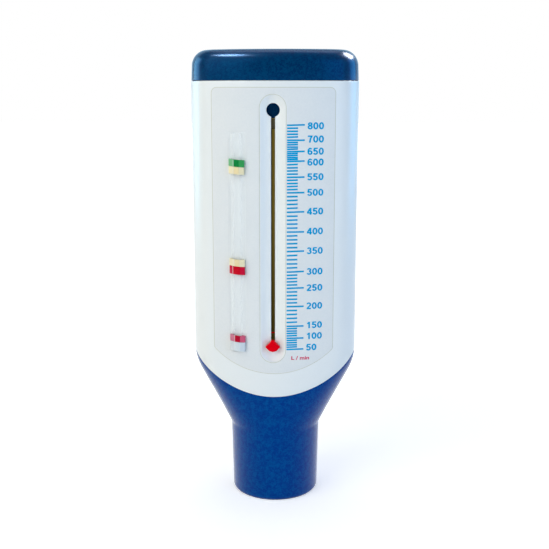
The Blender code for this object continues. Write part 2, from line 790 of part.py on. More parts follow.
def lip_notch(low, high):
    """Tool that opens a lip where the pad behind the trough passes it."""
    half_w = PAD_HALF_W + LIP_NOTCH_GAP
    return box("notch", (-half_w, -REACH, low), (half_w, PAD_FACE_Y + PAST, high))


def cap_skirt(bottom):
    """Skirt of the cap inside the shells."""
    low = bottom - SKIRT_LENGTH
    skirt = upright("skirt", outline_at(SEAM_Z, LIP_INSET), low, bottom + LIP_ROOT)
    inner = outline_at(SEAM_Z, LIP_INSET + LIP_WALL)
    hollow = upright("skirt_hollow", inner, low - PAST, TOP_Z)
    return combine(skirt, cut=[hollow, lip_notch(low - PAST, bottom)])


def cap_boss(top):
    """Boss that closes the top of the barrel, with a spigot inside it."""
    spigot_r = BARREL_R - BARREL_WALL - GAP
    inner_r = BARREL_R - BOSS_WALL
    return turned_ring("boss", [
        (inner_r, SPIGOT_BOTTOM_Z),
        (spigot_r, SPIGOT_BOTTOM_Z),
        (spigot_r, BOSS_BOTTOM_Z),
        (BARREL_R, BOSS_BOTTOM_Z),
        (BARREL_R, top),
        (inner_r, top),
    ])


def make_top_cap():
    """Blue cap with a skirt inside the shells, a boss over the barrel and a post for the rod."""
    bottom = SEAM_Z + GAP / 2.0
    within = TOP_Z - BLUE_WALL / 2.0
    cap = cap_form("top_cap", 0.0, bottom)
    cap = combine(cap, cut=[cap_form("cap_hollow", BLUE_WALL, bottom - PAST)])
    post = turned_solid("post", [(POST_R, POST_BOTTOM_Z), (POST_R, within)], sides=FINE_ROUND)
    bore = turned_solid(
        "rod_bore", [(ROD_BORE_R, BUFFER_Z), (ROD_BORE_R, ROD_TOP_Z + GAP)], sides=FINE_ROUND
    )
    cap = combine(cap, add=[cap_skirt(bottom), cap_boss(within), post], cut=[bore])
    return finish(cap, "cap_blue")


def funnel_form():
    """Outside of the mouthpiece, with a rounded rim and a shoulder that meets the shells."""
    rings = []
    for i in range(3):
        a = math.pi / 4.0 * i
        inset = RIM_FILLET * (1.0 - math.sin(a))
        z = RIM_FILLET * (1.0 - math.cos(a))
        rings.append([(x, y, z) for x, y in outline_at(0.0, inset)])
    for z in levels(CREASE_Z, EDGE_ARC_Z):
        rings.append([(x, y, z) for x, y in outline_at(z)])
    return loft("mouthpiece_funnel", rings)


def funnel_collar():
    """Collar of the mouthpiece inside the shells."""
    collar = body_form("collar", CREASE_Z + PAST, EDGE_ARC_Z, LIP_INSET)
    hollow = body_form("collar_hollow", CREASE_Z, EDGE_ARC_Z + PAST, LIP_INSET + LIP_WALL)
    above = edge_disc("above", EDGE_ARC_R - LIP_HEIGHT)
    under = below_edge("under", EDGE_ARC_R + PAST)
    notch = lip_notch(EDGE_ARC_Z - EDGE_ARC_R - GAP, EDGE_ARC_Z)
    return combine(collar, cut=[hollow, above, under, notch])


def make_mouthpiece():
    """Blue funnel and neck with a collar inside the shells and a ledge under the barrel."""
    upper = edge_disc("upper", EDGE_ARC_R + GAP / 2.0)
    hollow = body_form("hollow", CREASE_Z + PAST, EDGE_ARC_Z + PAST, BLUE_WALL)
    funnel = combine(funnel_form(), cut=[upper, hollow])
    rim_r, socket_r = NECK_RIM_R - RIM_WALL, BARREL_R + RUNNING_GAP
    bore = turned_solid("bore", [
        (rim_r + RIM_FILLET, -PAST),
        (rim_r + RIM_FILLET, 0.0),
        (rim_r, RIM_FILLET),
        (rim_r, LEDGE_Z),
        (LEDGE_R, LEDGE_Z),
        (LEDGE_R, LEDGE_Z + LEDGE_THICK),
        (socket_r, LEDGE_Z + LEDGE_THICK),
        (socket_r, EDGE_ARC_Z),
    ])
    return finish(combine(funnel, add=[funnel_collar()], cut=[bore]), "neck_blue")


def make_scale_label():
    """Thin curved label with openings for the trough and the rail."""
    label = crosswise("scale_label", label_outline(0.0), back=0.0)
    form = body_form("form", CREASE_Z, SEAM_Z)
    inside = body_form("inside", CREASE_Z - PAST, SEAM_Z + PAST, LABEL_THICK)
    half_w = TROUGH_HALF_W + GAP
    low, high = TROUGH_BOTTOM_Z + TROUGH_HALF_W, TROUGH_TOP_Z - TROUGH_HALF_W
    opening = arc((0.0, high), half_w, 0.0, math.pi, FINE_ROUND)
    opening += arc((0.0, low), half_w, math.pi, 2.0 * math.pi, FINE_ROUND)
    tools = [inside, crosswise("trough_hole", opening), rail_seat("rail_hole", PAST)]
    return finish(combine(label, keep=[form], cut=tools), "label_film")


def make_zone_rail():
    """Clear rail that carries the three zone markers."""
    rail = rail_prism("zone_rail", rail_profile(), RAIL_BOTTOM_Z, RAIL_TOP_Z)
    return finish(rail, "clear_rail", crease=15.0)


def make_marker(name, low, heights, colours):
    """One sliding marker in two colours, the lower colour first."""
    middle = low + heights[0]
    high = middle + heights[1]
    origin = (*rail_point(0.0, 0.0), (low + high) / 2.0)
    spans = ((low, middle - COLOUR_GAP / 2.0), (middle + COLOUR_GAP / 2.0, high))
    for (start, end), colour in zip(spans, colours):
        part = rail_prism(f"{name}_{colour}", clip_profile(), start, end, CLIP_SLANT)
        finish(part, f"marker_{colour}", origin, crease=15.0)


def make_markers():
    """The three zone markers on the rail."""
    upper, middle, lower = (
        RAIL_TOP_Z - UPPER_CLIP_DROP,
        RAIL_BOTTOM_Z + MIDDLE_CLIP_RISE,
        RAIL_BOTTOM_Z + LOWER_CLIP_RISE,
    )
    make_marker("marker_upper", upper, UPPER_CLIP_HEIGHTS, ("yellow", "green"))
    make_marker("marker_middle", middle, MIDDLE_CLIP_HEIGHTS, ("red", "yellow"))
    make_marker("marker_lower", lower, LOWER_CLIP_HEIGHTS, ("pale", "red"))


def make_pointer():
    """Red pointer: a head in the trough, a neck through the slot and a foot behind it."""
    radius, axis_y = trough_axis()
    front_y = -BODY_HALF_D - POINTER_PROUD
    outline = rounded([
        (0.0, POINTER_Z + HEAD_UP, HEAD_CORNER_R),
        (HEAD_HALF_W, POINTER_Z + HEAD_WIDEST, HEAD_CORNER_R),
        (0.0, POINTER_Z - HEAD_DOWN, HEAD_FOOT_R),
        (-HEAD_HALF_W, POINTER_Z + HEAD_WIDEST, HEAD_CORNER_R),
    ])
    head = crosswise("pointer", outline, front_y, PAD_FACE_Y)
    bed_r = radius - GAP
    low, high = POINTER_Z - 2.0 * PAST, POINTER_Z + 2.0 * PAST
    head = combine(head, keep=[turned_solid("bed", [(bed_r, low), (bed_r, high)], (0.0, axis_y))])
    neck = box(
        "neck",
        (-NECK_HALF_W, axis_y + bed_r - BITE, POINTER_Z - NECK_HALF_H),
        (NECK_HALF_W, FOOT_Y + BITE, POINTER_Z + NECK_HALF_H),
    )
    foot = box(
        "foot",
        (-FOOT_HALF_W, FOOT_Y, POINTER_Z - FOOT_BELOW),
        (FOOT_HALF_W, FOOT_Y + FOOT_THICK, POINTER_Z + FOOT_ABOVE),
    )
    return finish(combine(head, add=[neck, foot]), "pointer_red", (0.0, FOOT_Y, POINTER_Z))


def make_barrel():
    """Tube that the piston slides in, slotted for the pusher and for the air."""
    barrel = tube(
        "measuring_barrel", BARREL_R - BARREL_WALL, BARREL_R, BARREL_BOTTOM_Z, BARREL_TOP_Z
    )
    slots = [box(
        "pusher_slot",
        (-BARREL_SLOT_HALF_W, -REACH, BARREL_SLOT_BOTTOM_Z),
        (BARREL_SLOT_HALF_W, 0.0, BARREL_SLOT_TOP_Z),
    )]
    for side in (-1.0, 1.0):
        x = side * EXIT_SLOT_X
        slots.append(box(
            f"exit_slot_{side:+.0f}",
            (x - EXIT_SLOT_HALF_W, 0.0, PISTON_TOP_Z + EXIT_SLOT_RISE),
            (x + EXIT_SLOT_HALF_W, REACH, BARREL_SLOT_TOP_Z - EXIT_SLOT_DROP),
        ))
    return finish(combine(barrel, cut=slots), "barrel_brown")


def make_gasket():
    """Soft ring between the mouthpiece's ledge and the spider."""
    ring = tube("barrel_gasket", LEDGE_R + GAP, BARREL_R, GASKET_Z, GASKET_Z + GASKET_THICK)
    return finish(ring, "rubber")


def make_spider():
    """Spoked wheel under the barrel that holds the lower end of the rod."""
    high = FLANGE_Z + FLANGE_THICK
    wheel = tube("inlet_spider", LEDGE_R, BARREL_R, FLANGE_Z, high)
    half, reach = SPOKE_WIDTH / 2.0, LEDGE_R + BITE
    spokes = []
    for number in range(SPOKE_PAIRS):
        turn = math.pi * number / SPOKE_PAIRS
        cosine, sine = math.cos(turn), math.sin(turn)
        corners = [(-reach, -half), (reach, -half), (reach, half), (-reach, half)]
        outline = [(x * cosine - y * sine, x * sine + y * cosine) for x, y in corners]
        spokes.append(
            upright(f"spokes_{number}", outline, FLANGE_Z + SPOKE_INSET, high - SPOKE_INSET)
        )
    hub = turned_solid(
        "hub",
        [(SPIDER_HUB_R, SPIDER_HUB_BOTTOM_Z), (SPIDER_HUB_R, SPIDER_HUB_TOP_Z)],
        sides=FINE_ROUND,
    )
    bore = turned_solid(
        "hub_bore",
        [(ROD_BORE_R, ROD_BOTTOM_Z), (ROD_BORE_R, SPIDER_HUB_TOP_Z + PAST)],
        sides=FINE_ROUND,
    )
    return finish(combine(wheel, add=[*spokes, hub], cut=[bore]), "spider_white")


def make_rod():
    """Steel rod that guides the piston."""
    rod = turned_solid("guide_rod", [(ROD_R, ROD_BOTTOM_Z), (ROD_R, ROD_TOP_Z)], sides=FINE_ROUND)
    return finish(rod, "steel", crease=40.0)


def make_rod_clip():
    """Retaining ring under the spider's hub."""
    high = SPIDER_HUB_BOTTOM_Z - GAP
    outer = ROD_BORE_R + CLIP_RING_WIDTH
    ring = tube("rod_clip", ROD_BORE_R, outer, high - CLIP_RING_THICK, high, FINE_ROUND)
    return finish(ring, "steel")


def make_buffer():
    """Soft ring that stops the piston at the top."""
    outer = ROD_BORE_R + BUFFER_WIDTH
    ring = tube("top_buffer", ROD_BORE_R, outer, BUFFER_Z, BUFFER_Z + BUFFER_THICK, FINE_ROUND)
    return finish(ring, "rubber")


def make_piston():
    """Piston cup on the rod, with the pusher that reaches through the barrel's slot."""
    disc_bottom_z = PISTON_TOP_Z - PISTON_DISC_THICK
    skirt_bottom_z = PISTON_TOP_Z - PISTON_SKIRT
    piston = turned_ring("piston", [
        (ROD_BORE_R, PISTON_HUB_BOTTOM_Z),
        (PISTON_HUB_R, PISTON_HUB_BOTTOM_Z),
        (PISTON_HUB_R, disc_bottom_z),
        (PISTON_R - PISTON_WALL, disc_bottom_z),
        (PISTON_R - PISTON_WALL, skirt_bottom_z),
        (PISTON_R, skirt_bottom_z),
        (PISTON_R, PISTON_TOP_Z),
        (PISTON_HUB_R, PISTON_TOP_Z),
        (PISTON_HUB_R, PISTON_HUB_TOP_Z),
        (ROD_BORE_R, PISTON_HUB_TOP_Z),
    ])
    pusher = box(
        "pusher",
        (-PUSHER_HALF_W, PAD_FACE_Y + PUSHER_SHORT, PUSHER_BOTTOM_Z),
        (PUSHER_HALF_W, -PISTON_R + PISTON_WALL / 2.0, PUSHER_TOP_Z),
    )
    return finish(combine(piston, add=[pusher]), "piston_grey", (0.0, 0.0, PISTON_HUB_BOTTOM_Z))


def make_spring():
    """Pull spring between the spider's hub and the piston's hub."""
    low = SPIDER_HUB_TOP_Z + GAP + SPRING_WIRE_R
    high = PISTON_HUB_BOTTOM_Z - GAP - SPRING_WIRE_R
    count = SPRING_TURNS * SPRING_STEPS
    rings = []
    for step in range(count + 1):
        angle = 2.0 * math.pi * step / SPRING_STEPS
        z = mix(low, high, step / count)
        ring = []
        for across, up in circle((SPRING_R, z), SPRING_WIRE_R, WIRE_SIDES):
            ring.append((across * math.cos(angle), across * math.sin(angle), up))
        rings.append(ring)
    return finish(loft("return_spring", rings), "spring_steel", crease=60.0)


def build():
    """Clears the scene and makes every part."""
    for obj in list(bpy.data.objects):
        bpy.data.objects.remove(obj, do_unlink=True)
    make_front_shell()
    make_rear_shell()
    make_top_cap()
    make_mouthpiece()
    make_scale_label()
    make_zone_rail()
    make_markers()
    make_pointer()
    make_barrel()
    make_gasket()
    make_spider()
    make_rod()
    make_rod_clip()
    make_buffer()
    make_piston()
    make_spring()


build()
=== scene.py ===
"""Dresses the peak flow meter's fixed frame: fine surfaces, printed scale, finishes and studio.

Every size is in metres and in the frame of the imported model: origin at the centre of the mouthpiece
rim, +Z up the body and the scale facing -Y.
"""

import logging
import math
from collections.abc import Sequence
from dataclasses import dataclass, field
from enum import Enum

import bmesh
import bpy
import numpy as np
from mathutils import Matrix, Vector


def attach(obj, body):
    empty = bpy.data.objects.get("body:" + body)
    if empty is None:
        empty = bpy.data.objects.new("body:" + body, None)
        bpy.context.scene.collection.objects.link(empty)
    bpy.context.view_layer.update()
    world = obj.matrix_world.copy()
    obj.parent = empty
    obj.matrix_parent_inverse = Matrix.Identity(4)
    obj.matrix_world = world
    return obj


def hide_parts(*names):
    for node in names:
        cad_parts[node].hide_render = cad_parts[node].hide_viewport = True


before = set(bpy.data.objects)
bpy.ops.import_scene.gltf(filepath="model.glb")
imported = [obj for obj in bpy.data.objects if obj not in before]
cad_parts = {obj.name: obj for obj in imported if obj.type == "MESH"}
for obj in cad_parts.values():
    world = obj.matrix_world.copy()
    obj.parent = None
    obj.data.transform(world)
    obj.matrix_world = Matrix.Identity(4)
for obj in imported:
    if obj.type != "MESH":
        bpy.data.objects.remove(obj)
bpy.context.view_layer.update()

LOG = logging.getLogger("peak_flow_meter")
MM = 0.001
RAIL_X = -11.05 * MM  # middle of the zone rail and its markers
Pair = tuple[float, float]
Point = tuple[float, float, float]
Outline = list[Pair]


# Nodes and colours


def linear(colour: str) -> tuple[float, float, float, float]:
    """Turns an sRGB hex colour such as "#ECEEEF" into linear RGB with full alpha.

    Args:
        colour: The hex colour.

    Returns:
        Its channels from 0 to 1.
    """
    channels = [int(colour[i : i + 2], 16) / 255.0 for i in (1, 3, 5)]
    red, green, blue = [
        c / 12.92 if c <= 0.04045 else ((c + 0.055) / 1.055) ** 2.4 for c in channels
    ]
    return red, green, blue, 1.0


def add(
    tree: bpy.types.NodeTree, kind: str, inputs: dict | None = None, **settings
) -> bpy.types.Node:
    """Adds one node with its settings and links.

    Args:
        tree: Node tree that gets the node.
        kind: Type name of the node.
        inputs: Socket name or number, and the value it holds or the output that feeds it.
        **settings: Properties of the node itself.

    Returns:
        The new node.
    """
    node = tree.nodes.new(kind)
    for name, value in settings.items():
        setattr(node, name, value)
    for name, value in (inputs or {}).items():
        if isinstance(value, bpy.types.NodeSocket):
            tree.links.new(value, node.inputs[name])
        else:
            node.inputs[name].default_value = value
    return node


def per_metre(size: float) -> float:
    """Noise scale whose features are the given size in metres across."""
    return 1.0 / size


def start_tree(name: str, inputs: dict[str, str]) -> tuple[bpy.types.NodeTree, bpy.types.Node]:
    """Starts a Geometry Nodes tree that takes and gives one geometry.

    Args:
        name: Name of the tree.
        inputs: Name of each further input, and the kind of its socket.

    Returns:
        The tree and its input node.
    """
    tree = bpy.data.node_groups.new(name, "GeometryNodeTree")
    face = tree.interface
    face.new_socket("Geometry", in_out="INPUT", socket_type="NodeSocketGeometry")
    for label, kind in inputs.items():
        face.new_socket(label, in_out="INPUT", socket_type=f"NodeSocket{kind}")
    face.new_socket("Geometry", in_out="OUTPUT", socket_type="NodeSocketGeometry")
    return tree, add(tree, "NodeGroupInput")


# Finishes


@dataclass(frozen=True)
class Finish:
    """One finish of the meter, with the real thing's grain in metres.

    Attributes:
        name: Material name: what it is made of and how.
        colour: Main colour, sRGB.
        shade: Colour of the slow mottling, sRGB.
        roughness: Mean roughness.
        spread: How far roughness wanders either way.
        mottle: Width of a patch of mottling.
        grain: Width of one grain of the surface.
        depth: Height of that grain.
        specular: Specular level.
        metallic: 1 for bare metal.
        ior: Index of refraction.
        tint: Colour of the reflection seen head on, sRGB, given where it isn't white.
        alpha: How much of what lies behind it is covered.
        contrast: How sharply its two colours part, 1 for softly.
    """

    name: str
    colour: str
    shade: str
    roughness: float
    spread: float = 0.05
    mottle: float = 6.0 * MM
    grain: float = 0.5 * MM
    depth: float = 0.002 * MM
    specular: float = 0.5
    metallic: float = 0.0
    ior: float = 1.5
    tint: str = "#FFFFFF"
    alpha: float = 1.0
    contrast: float = 1.0

    def start(self) -> tuple[bpy.types.NodeTree, bpy.types.Node]:
        """Makes the material with its constant values set on the shader itself.

        Returns:
            Its node tree and its Principled shader.
        """
        material = bpy.data.materials.new(self.name)
        material.use_nodes = True
        tree = material.node_tree
        shader = tree.nodes["Principled BSDF"]
        shader.inputs["Metallic"].default_value = self.metallic
        shader.inputs["IOR"].default_value = self.ior
        shader.inputs["Specular IOR Level"].default_value = self.specular
        shader.inputs["Specular Tint"].default_value = linear(self.tint)
        shader.inputs["Alpha"].default_value = self.alpha
        material.diffuse_color = linear(self.colour)
        return tree, shader

    def surface(self, tree: bpy.types.NodeTree, shader: bpy.types.Node) -> bpy.types.NodeSocket:
        """Adds mottling, uneven gloss and grain.

        Args:
            tree: Node tree of the material.
            shader: Its Principled shader.

        Returns:
            The mottled colour, already linked to the shader.
        """
        place = add(tree, "ShaderNodeTexCoord").outputs["Object"]
        patches = add(tree, "ShaderNodeTexNoise", {
            "Vector": place, "Scale": per_metre(self.mottle), "Detail": 3.0, "Roughness": 0.6,
        }).outputs["Fac"]
        grain = add(tree, "ShaderNodeTexNoise", {
            "Vector": place, "Scale": per_metre(self.grain), "Detail": 2.0, "Roughness": 0.5,
        }).outputs["Fac"]
        both = add(tree, "ShaderNodeMath", {0: patches, 1: grain}, operation="ADD").outputs[0]
        reach = 0.3 / self.contrast
        colour = add(tree, "ShaderNodeMix", {
            "Factor": add(tree, "ShaderNodeMapRange", {
                "Value": both, "From Min": 1.0 - reach, "From Max": 1.0 + reach,
            }).outputs["Result"],
            "A": linear(self.colour), "B": linear(self.shade),
        }, data_type="RGBA").outputs["Result"]
        gloss = add(tree, "ShaderNodeMapRange", {
            "Value": patches, "From Min": 0.3, "From Max": 0.7,
            "To Min": self.roughness - self.spread, "To Max": self.roughness + self.spread,
        }).outputs["Result"]
        relief = add(tree, "ShaderNodeBump", {
            "Height": grain, "Distance": self.depth, "Strength": 1.0,
        }).outputs["Normal"]
        tree.links.new(colour, shader.inputs["Base Color"])
        tree.links.new(gloss, shader.inputs["Roughness"])
        tree.links.new(relief, shader.inputs["Normal"])
        return colour

    def material(self) -> bpy.types.Material:
        """Returns the finished material, made once.

        Returns:
            The material.
        """
        if self.name not in bpy.data.materials:
            self.surface(*self.start())
        return bpy.data.materials[self.name]


@dataclass(frozen=True)
class BandedPlastic(Finish):
    """Tinted plastic with painted reflections on its sloping sides and a painted highlight line.

    Attributes:
        thin: Colour of the left side, lighter by painted reflection, sRGB.
        side: Colour of the sloping right side, lighter by painted reflection, sRGB.
        glint: Colour of the painted highlight line where the left side ends, sRGB.
        edges: Places across the marker where the bands change, from left to right.
        soft: Half the width over which one band turns into the next.
    """

    thin: str = "#FFFFFF"
    side: str = "#FFFFFF"
    glint: str = "#F4F6F4"
    edges: tuple[float, float, float] = (-1.14 * MM, -1.04 * MM, 0.66 * MM)
    soft: float = 0.03 * MM

    def material(self) -> bpy.types.Material:
        """Returns the finished material: bands of painted reflection over the usual surface.

        Returns:
            The material.
        """
        if self.name in bpy.data.materials:
            return bpy.data.materials[self.name]
        tree, shader = self.start()
        middle = self.surface(tree, shader)
        place = add(tree, "ShaderNodeTexCoord").outputs["Object"]
        across = add(tree, "ShaderNodeSeparateXYZ", {0: place}).outputs["X"]
        colour = middle
        # The left and right bands are painted reflections; the narrow band is a painted highlight.
        for edge, band in ((2, self.side), (1, self.glint), (0, self.thin)):
            past = add(tree, "ShaderNodeMapRange", {
                "Value": across,
                "From Min": RAIL_X + self.edges[edge] - self.soft,
                "From Max": RAIL_X + self.edges[edge] + self.soft,
            }).outputs["Result"]
            first, second = (middle, linear(band)) if edge == 2 else (linear(band), colour)
            colour = add(tree, "ShaderNodeMix", {
                "Factor": past, "A": first, "B": second,
            }, data_type="RGBA").outputs["Result"]
        tree.links.new(colour, shader.inputs["Base Color"])
        return bpy.data.materials[self.name]


@dataclass(frozen=True)
class TurnedMetal(Finish):
    """Drawn or turned metal with fine lines round its axis.

    Attributes:
        line: Spacing of the lines over two pi.
        wave: Number by which the wave texture multiplies its own scale.
    """

    line: float = 0.15 * MM
    wave: float = 20.0

    def material(self) -> bpy.types.Material:
        """Returns the finished material: the usual surface with rings cut by the tool.

        Returns:
            The material.
        """
        if self.name in bpy.data.materials:
            return bpy.data.materials[self.name]
        tree, shader = self.start()
        self.surface(tree, shader)
        place = add(tree, "ShaderNodeTexCoord").outputs["Object"]
        rings = add(tree, "ShaderNodeTexWave", {
            "Vector": place, "Scale": per_metre(self.line) / self.wave, "Distortion": 0.4,
        }, bands_direction="Z").outputs["Fac"]
        relief = add(tree, "ShaderNodeBump", {
            "Height": rings, "Distance": self.depth, "Strength": 0.6,
        }).outputs["Normal"]
        tree.links.new(relief, shader.inputs["Normal"])
        return bpy.data.materials[self.name]


@dataclass(frozen=True)
class ShadedRod(TurnedMetal):
    """Drawn rod inside the body, with a painted glow for the light thrown back by its barrel.

    Attributes:
        soaked: Colour of that light on the rod, sRGB.
        low: Height at which it is dimmest.
        high: Height from which it is full.
        least: Share of it that is left at the low end.
    """

    soaked: str = "#5E5018"
    low: float = 50.0 * MM
    high: float = 95.0 * MM
    least: float = 0.28

    def material(self) -> bpy.types.Material:
        """Returns the finished material: turned metal with the painted glow on it.

        Returns:
            The material.
        """
        if self.name in bpy.data.materials:
            return bpy.data.materials[self.name]
        material = super().material()
        tree = material.node_tree
        shader = tree.nodes["Principled BSDF"]
        # Painted glow: emission that stands in for light, weaker towards the bottom.
        place = add(tree, "ShaderNodeTexCoord").outputs["Object"]
        height = add(tree, "ShaderNodeSeparateXYZ", {0: place}).outputs["Z"]
        fade = add(tree, "ShaderNodeMapRange", {
            "Value": height, "From Min": self.low, "From Max": self.high,
            "To Min": self.least, "To Max": 1.0,
        }).outputs["Result"]
        shader.inputs["Emission Color"].default_value = linear(self.soaked)
        tree.links.new(fade, shader.inputs["Emission Strength"])
        return material


# Gloss-moulded ABS: clean white, with a faint orange peel that softens reflections.
WHITE_SHELL = Finish("abs_white_gloss_moulded", "#ECEFEE", "#EAEDEC", 0.3, 0.02,
                     mottle=9.0 * MM, grain=0.5 * MM, depth=0.0006 * MM, specular=0.4)
# Spark-textured polypropylene, with no metal in it: deep blue, its gloss broken up by a fine grain.
# Real grain is near 0.15 mm and is drawn at 0.42 mm so that it shows.
CAP_BLUE = Finish("pp_dark_blue_spark_textured", "#003A60", "#002A52", 0.24, 0.04,
                  mottle=1.4 * MM, grain=0.42 * MM, depth=0.0012 * MM, specular=0.3,
                  tint="#3A9CFF", contrast=1.8)
NECK_BLUE = Finish("pp_blue_spark_textured", "#00488A", "#00307C", 0.22, 0.04,
                   mottle=1.4 * MM, grain=0.42 * MM, depth=0.0012 * MM, specular=0.3,
                   tint="#3A9CFF", contrast=1.8)
# Satin polycarbonate label film, printed from behind: grey-white and nearly matt.
LABEL_FILM = Finish("pc_label_film_satin", "#E6E8E7", "#E1E4E4", 0.42, 0.04,
                    mottle=14.0 * MM, grain=0.6 * MM, depth=0.001 * MM, specular=0.35)
# Clear edge of the film: a thin warm line, darker than the film, round its whole outline.
FILM_EDGE = Finish("film_edge_clear_warm", "#CFCFBF", "#C6C6B4", 0.5, grain=0.4 * MM)
# Screen-printed ink: slightly uneven cover.
CYAN_INK = Finish("screen_ink_cyan", "#009AD0", "#00A4D6", 0.5, 0.03,
                  mottle=1.2 * MM, grain=0.25 * MM, depth=0.0005 * MM, specular=0.1,
                  tint="#3A9CFF")
PINK_INK = Finish("screen_ink_red", "#D02050", "#D63C66", 0.5, 0.03,
                  mottle=1.2 * MM, grain=0.25 * MM, depth=0.0005 * MM, specular=0.15)
# Extruded acrylic rail: nearly clear over white, with polished sides.
CLEAR_RAIL = Finish("acrylic_rail_extruded", "#EEF1F1", "#E9EDEE", 0.16, 0.03,
                    mottle=20.0 * MM, grain=2.0 * MM, depth=0.001 * MM, specular=0.5, alpha=0.08)
POINTER_RED = Finish("acetal_red_moulded", "#EC0018", "#DC0014", 0.3, 0.04,
                     mottle=2.0 * MM, grain=0.5 * MM, depth=0.003 * MM, specular=0.25,
                     tint="#FF4040")
# Acetal tube, smooth where the piston runs. Its olive brown is painted shade: the warm
# shade of the body's inside, seen through the slot.
BARREL_SHADE_OLIVE = Finish("acetal_olive_painted_shade", "#7A6C3C", "#706338", 0.4, 0.05, grain=0.8 * MM)
PISTON_GREY = Finish("nylon_grey_moulded", "#4A483F", "#403E37", 0.45, 0.05, grain=0.4 * MM)
SPIDER_WHITE = Finish("nylon_white_moulded", "#DADDDF", "#D0D4D6", 0.42, 0.05, grain=0.5 * MM)
RUBBER = Finish("silicone_black_moulded", "#26272A", "#1E1F22", 0.75, 0.05, grain=0.3 * MM)
# Drawn steel rod: bare and bright. In the slot a painted glow makes it olive and dims towards
# the bottom, for the light that the barrel throws on it.
ROD_STEEL = ShadedRod("steel_rod_painted_glow", "#B9BCC0", "#AAADB2", 0.32, 0.05, metallic=1.0,
                      depth=0.001 * MM)
STEEL = TurnedMetal("spring_steel_drawn", "#A9ACB0", "#9A9DA2", 0.3, 0.05, metallic=1.0,
                    depth=0.001 * MM)


class MarkerColour(Enum):
    """Colours of the zone markers: tinted clear plastic, drawn opaque with painted reflections on the
    sides.
    """

    GREEN = BandedPlastic("acrylic_green_tinted", "#038C40", "#028038", 0.2, 0.03, specular=0.08,
                          mottle=1.5 * MM, thin="#78BB86", side="#38A054")
    YELLOW = BandedPlastic("acrylic_cream_tinted", "#F0DEAC", "#EED9A2", 0.2, 0.03, specular=0.25,
                           mottle=1.5 * MM, thin="#F2E6BE", side="#F2E5BC")
    RED = BandedPlastic("acrylic_red_tinted", "#D00020", "#C6001C", 0.2, 0.03, specular=0.08,
                        mottle=1.5 * MM, thin="#CE2A48", side="#D20434",
                        edges=(-1.56 * MM, -1.46 * MM, 0.9 * MM))
    ROSE = BandedPlastic("acrylic_rose_tinted", "#BE002C", "#B20028", 0.2, 0.03, specular=0.08,
                         mottle=1.5 * MM, thin="#CE7A90", side="#D45A78")
    PALE = BandedPlastic("acrylic_pale_tinted", "#E2EAEE", "#DCE5EA", 0.2, 0.03, specular=0.25,
                         mottle=1.5 * MM, thin="#E0E6EC", side="#DCE4EB", alpha=0.85)


# Meshes


def make_piece(
    name: str, points: Sequence, faces: Sequence, finish: Finish | None = None
) -> bpy.types.Object:
    """Makes a piece from points and faces.

    Args:
        name: Name of the piece.
        points: Points in the frame.
        faces: Corner numbers of each face.
        finish: Finish of the whole piece.

    Returns:
        The piece, at the origin.
    """
    mesh = bpy.data.meshes.new(name)
    corners = [tuple(map(int, face)) for face in faces]
    mesh.from_pydata([tuple(map(float, point)) for point in points], [], corners)
    piece = bpy.data.objects.new(name, mesh)
    bpy.context.scene.collection.objects.link(piece)
    if finish:
        mesh.materials.append(finish.material())
    return piece


def skin(name: str, grid: np.ndarray, finish: Finish | None, around: bool) -> bpy.types.Object:
    """Makes a closed solid from a grid of section loops.

    Args:
        name: Name of the piece.
        grid: Points, one closed loop of the section for each column: [loop, column, 3].
        finish: Finish of the piece.
        around: True if the last column joins the first, False if both ends are capped.

    Returns:
        The solid, with its faces outwards.
    """
    loop, columns = grid.shape[:2]
    numbers = np.arange(loop * columns).reshape(loop, columns)
    last = columns if around else columns - 1
    faces = []
    for j in range(last):
        k = (j + 1) % columns
        below, above = numbers, np.roll(numbers, -1, axis=0)
        faces += np.stack([below[:, j], below[:, k], above[:, k], above[:, j]], axis=1).tolist()
    if not around:
        faces += [numbers[:, 0].tolist(), numbers[::-1, -1].tolist()]
    piece = make_piece(name, grid.reshape(-1, 3), faces, finish)
    outwards(piece)
    return piece


def loft(name: str, rings: Sequence[Sequence], finish: Finish | None = None) -> bpy.types.Object:
    """Makes a closed solid through rings of equal point count, with flat ends.

    Args:
        name: Name of the piece.
        rings: Its rings of points, from one end to the other.
        finish: Finish of the piece.

    Returns:
        The solid, with its faces outwards.
    """
    count = len(rings[0])
    faces = []
    for level in range(len(rings) - 1):
        low = level * count
        for i in range(count):
            j = (i + 1) % count
            faces.append((low + i, low + j, low + count + j, low + count + i))
    faces += [range(count)[::-1], range((len(rings) - 1) * count, len(rings) * count)]
    piece = make_piece(name, [p for ring in rings for p in ring], faces, finish)
    outwards(piece)
    return piece


def outwards(piece: bpy.types.Object) -> None:
    """Turns the faces of a closed piece outwards if its volume comes out negative.

    Args:
        piece: A closed piece.
    """
    mesh = piece.data
    mesh.calc_loop_triangles()
    points = np.zeros(len(mesh.vertices) * 3)
    mesh.vertices.foreach_get("co", points)
    corners = np.zeros(len(mesh.loop_triangles) * 3, dtype=np.int32)
    mesh.loop_triangles.foreach_get("vertices", corners)
    a, b, c = points.reshape(-1, 3)[corners.reshape(-1, 3)].transpose(1, 0, 2)
    if np.einsum("ij,ij->", a, np.cross(b, c)) < 0.0:
        mesh.flip_normals()


def crosswise(
    name: str, outline: Outline, front: float = -60.0 * MM, back: float = 60.0 * MM
) -> bpy.types.Object:
    """Makes a tool from an outline in X and Z, pushed along Y."""
    return loft(name, [[(x, y, z) for x, z in outline] for y in (front, back)])


def set_inputs(change: bpy.types.Modifier, values: dict) -> None:
    """Sets a Geometry Nodes modifier's inputs, each by its socket's identifier.

    Args:
        change: The modifier.
        values: Name of each input, and its value.
    """
    for item in change.node_group.interface.items_tree:
        if item.in_out == "INPUT" and item.name in values:
            change[item.identifier] = values[item.name]


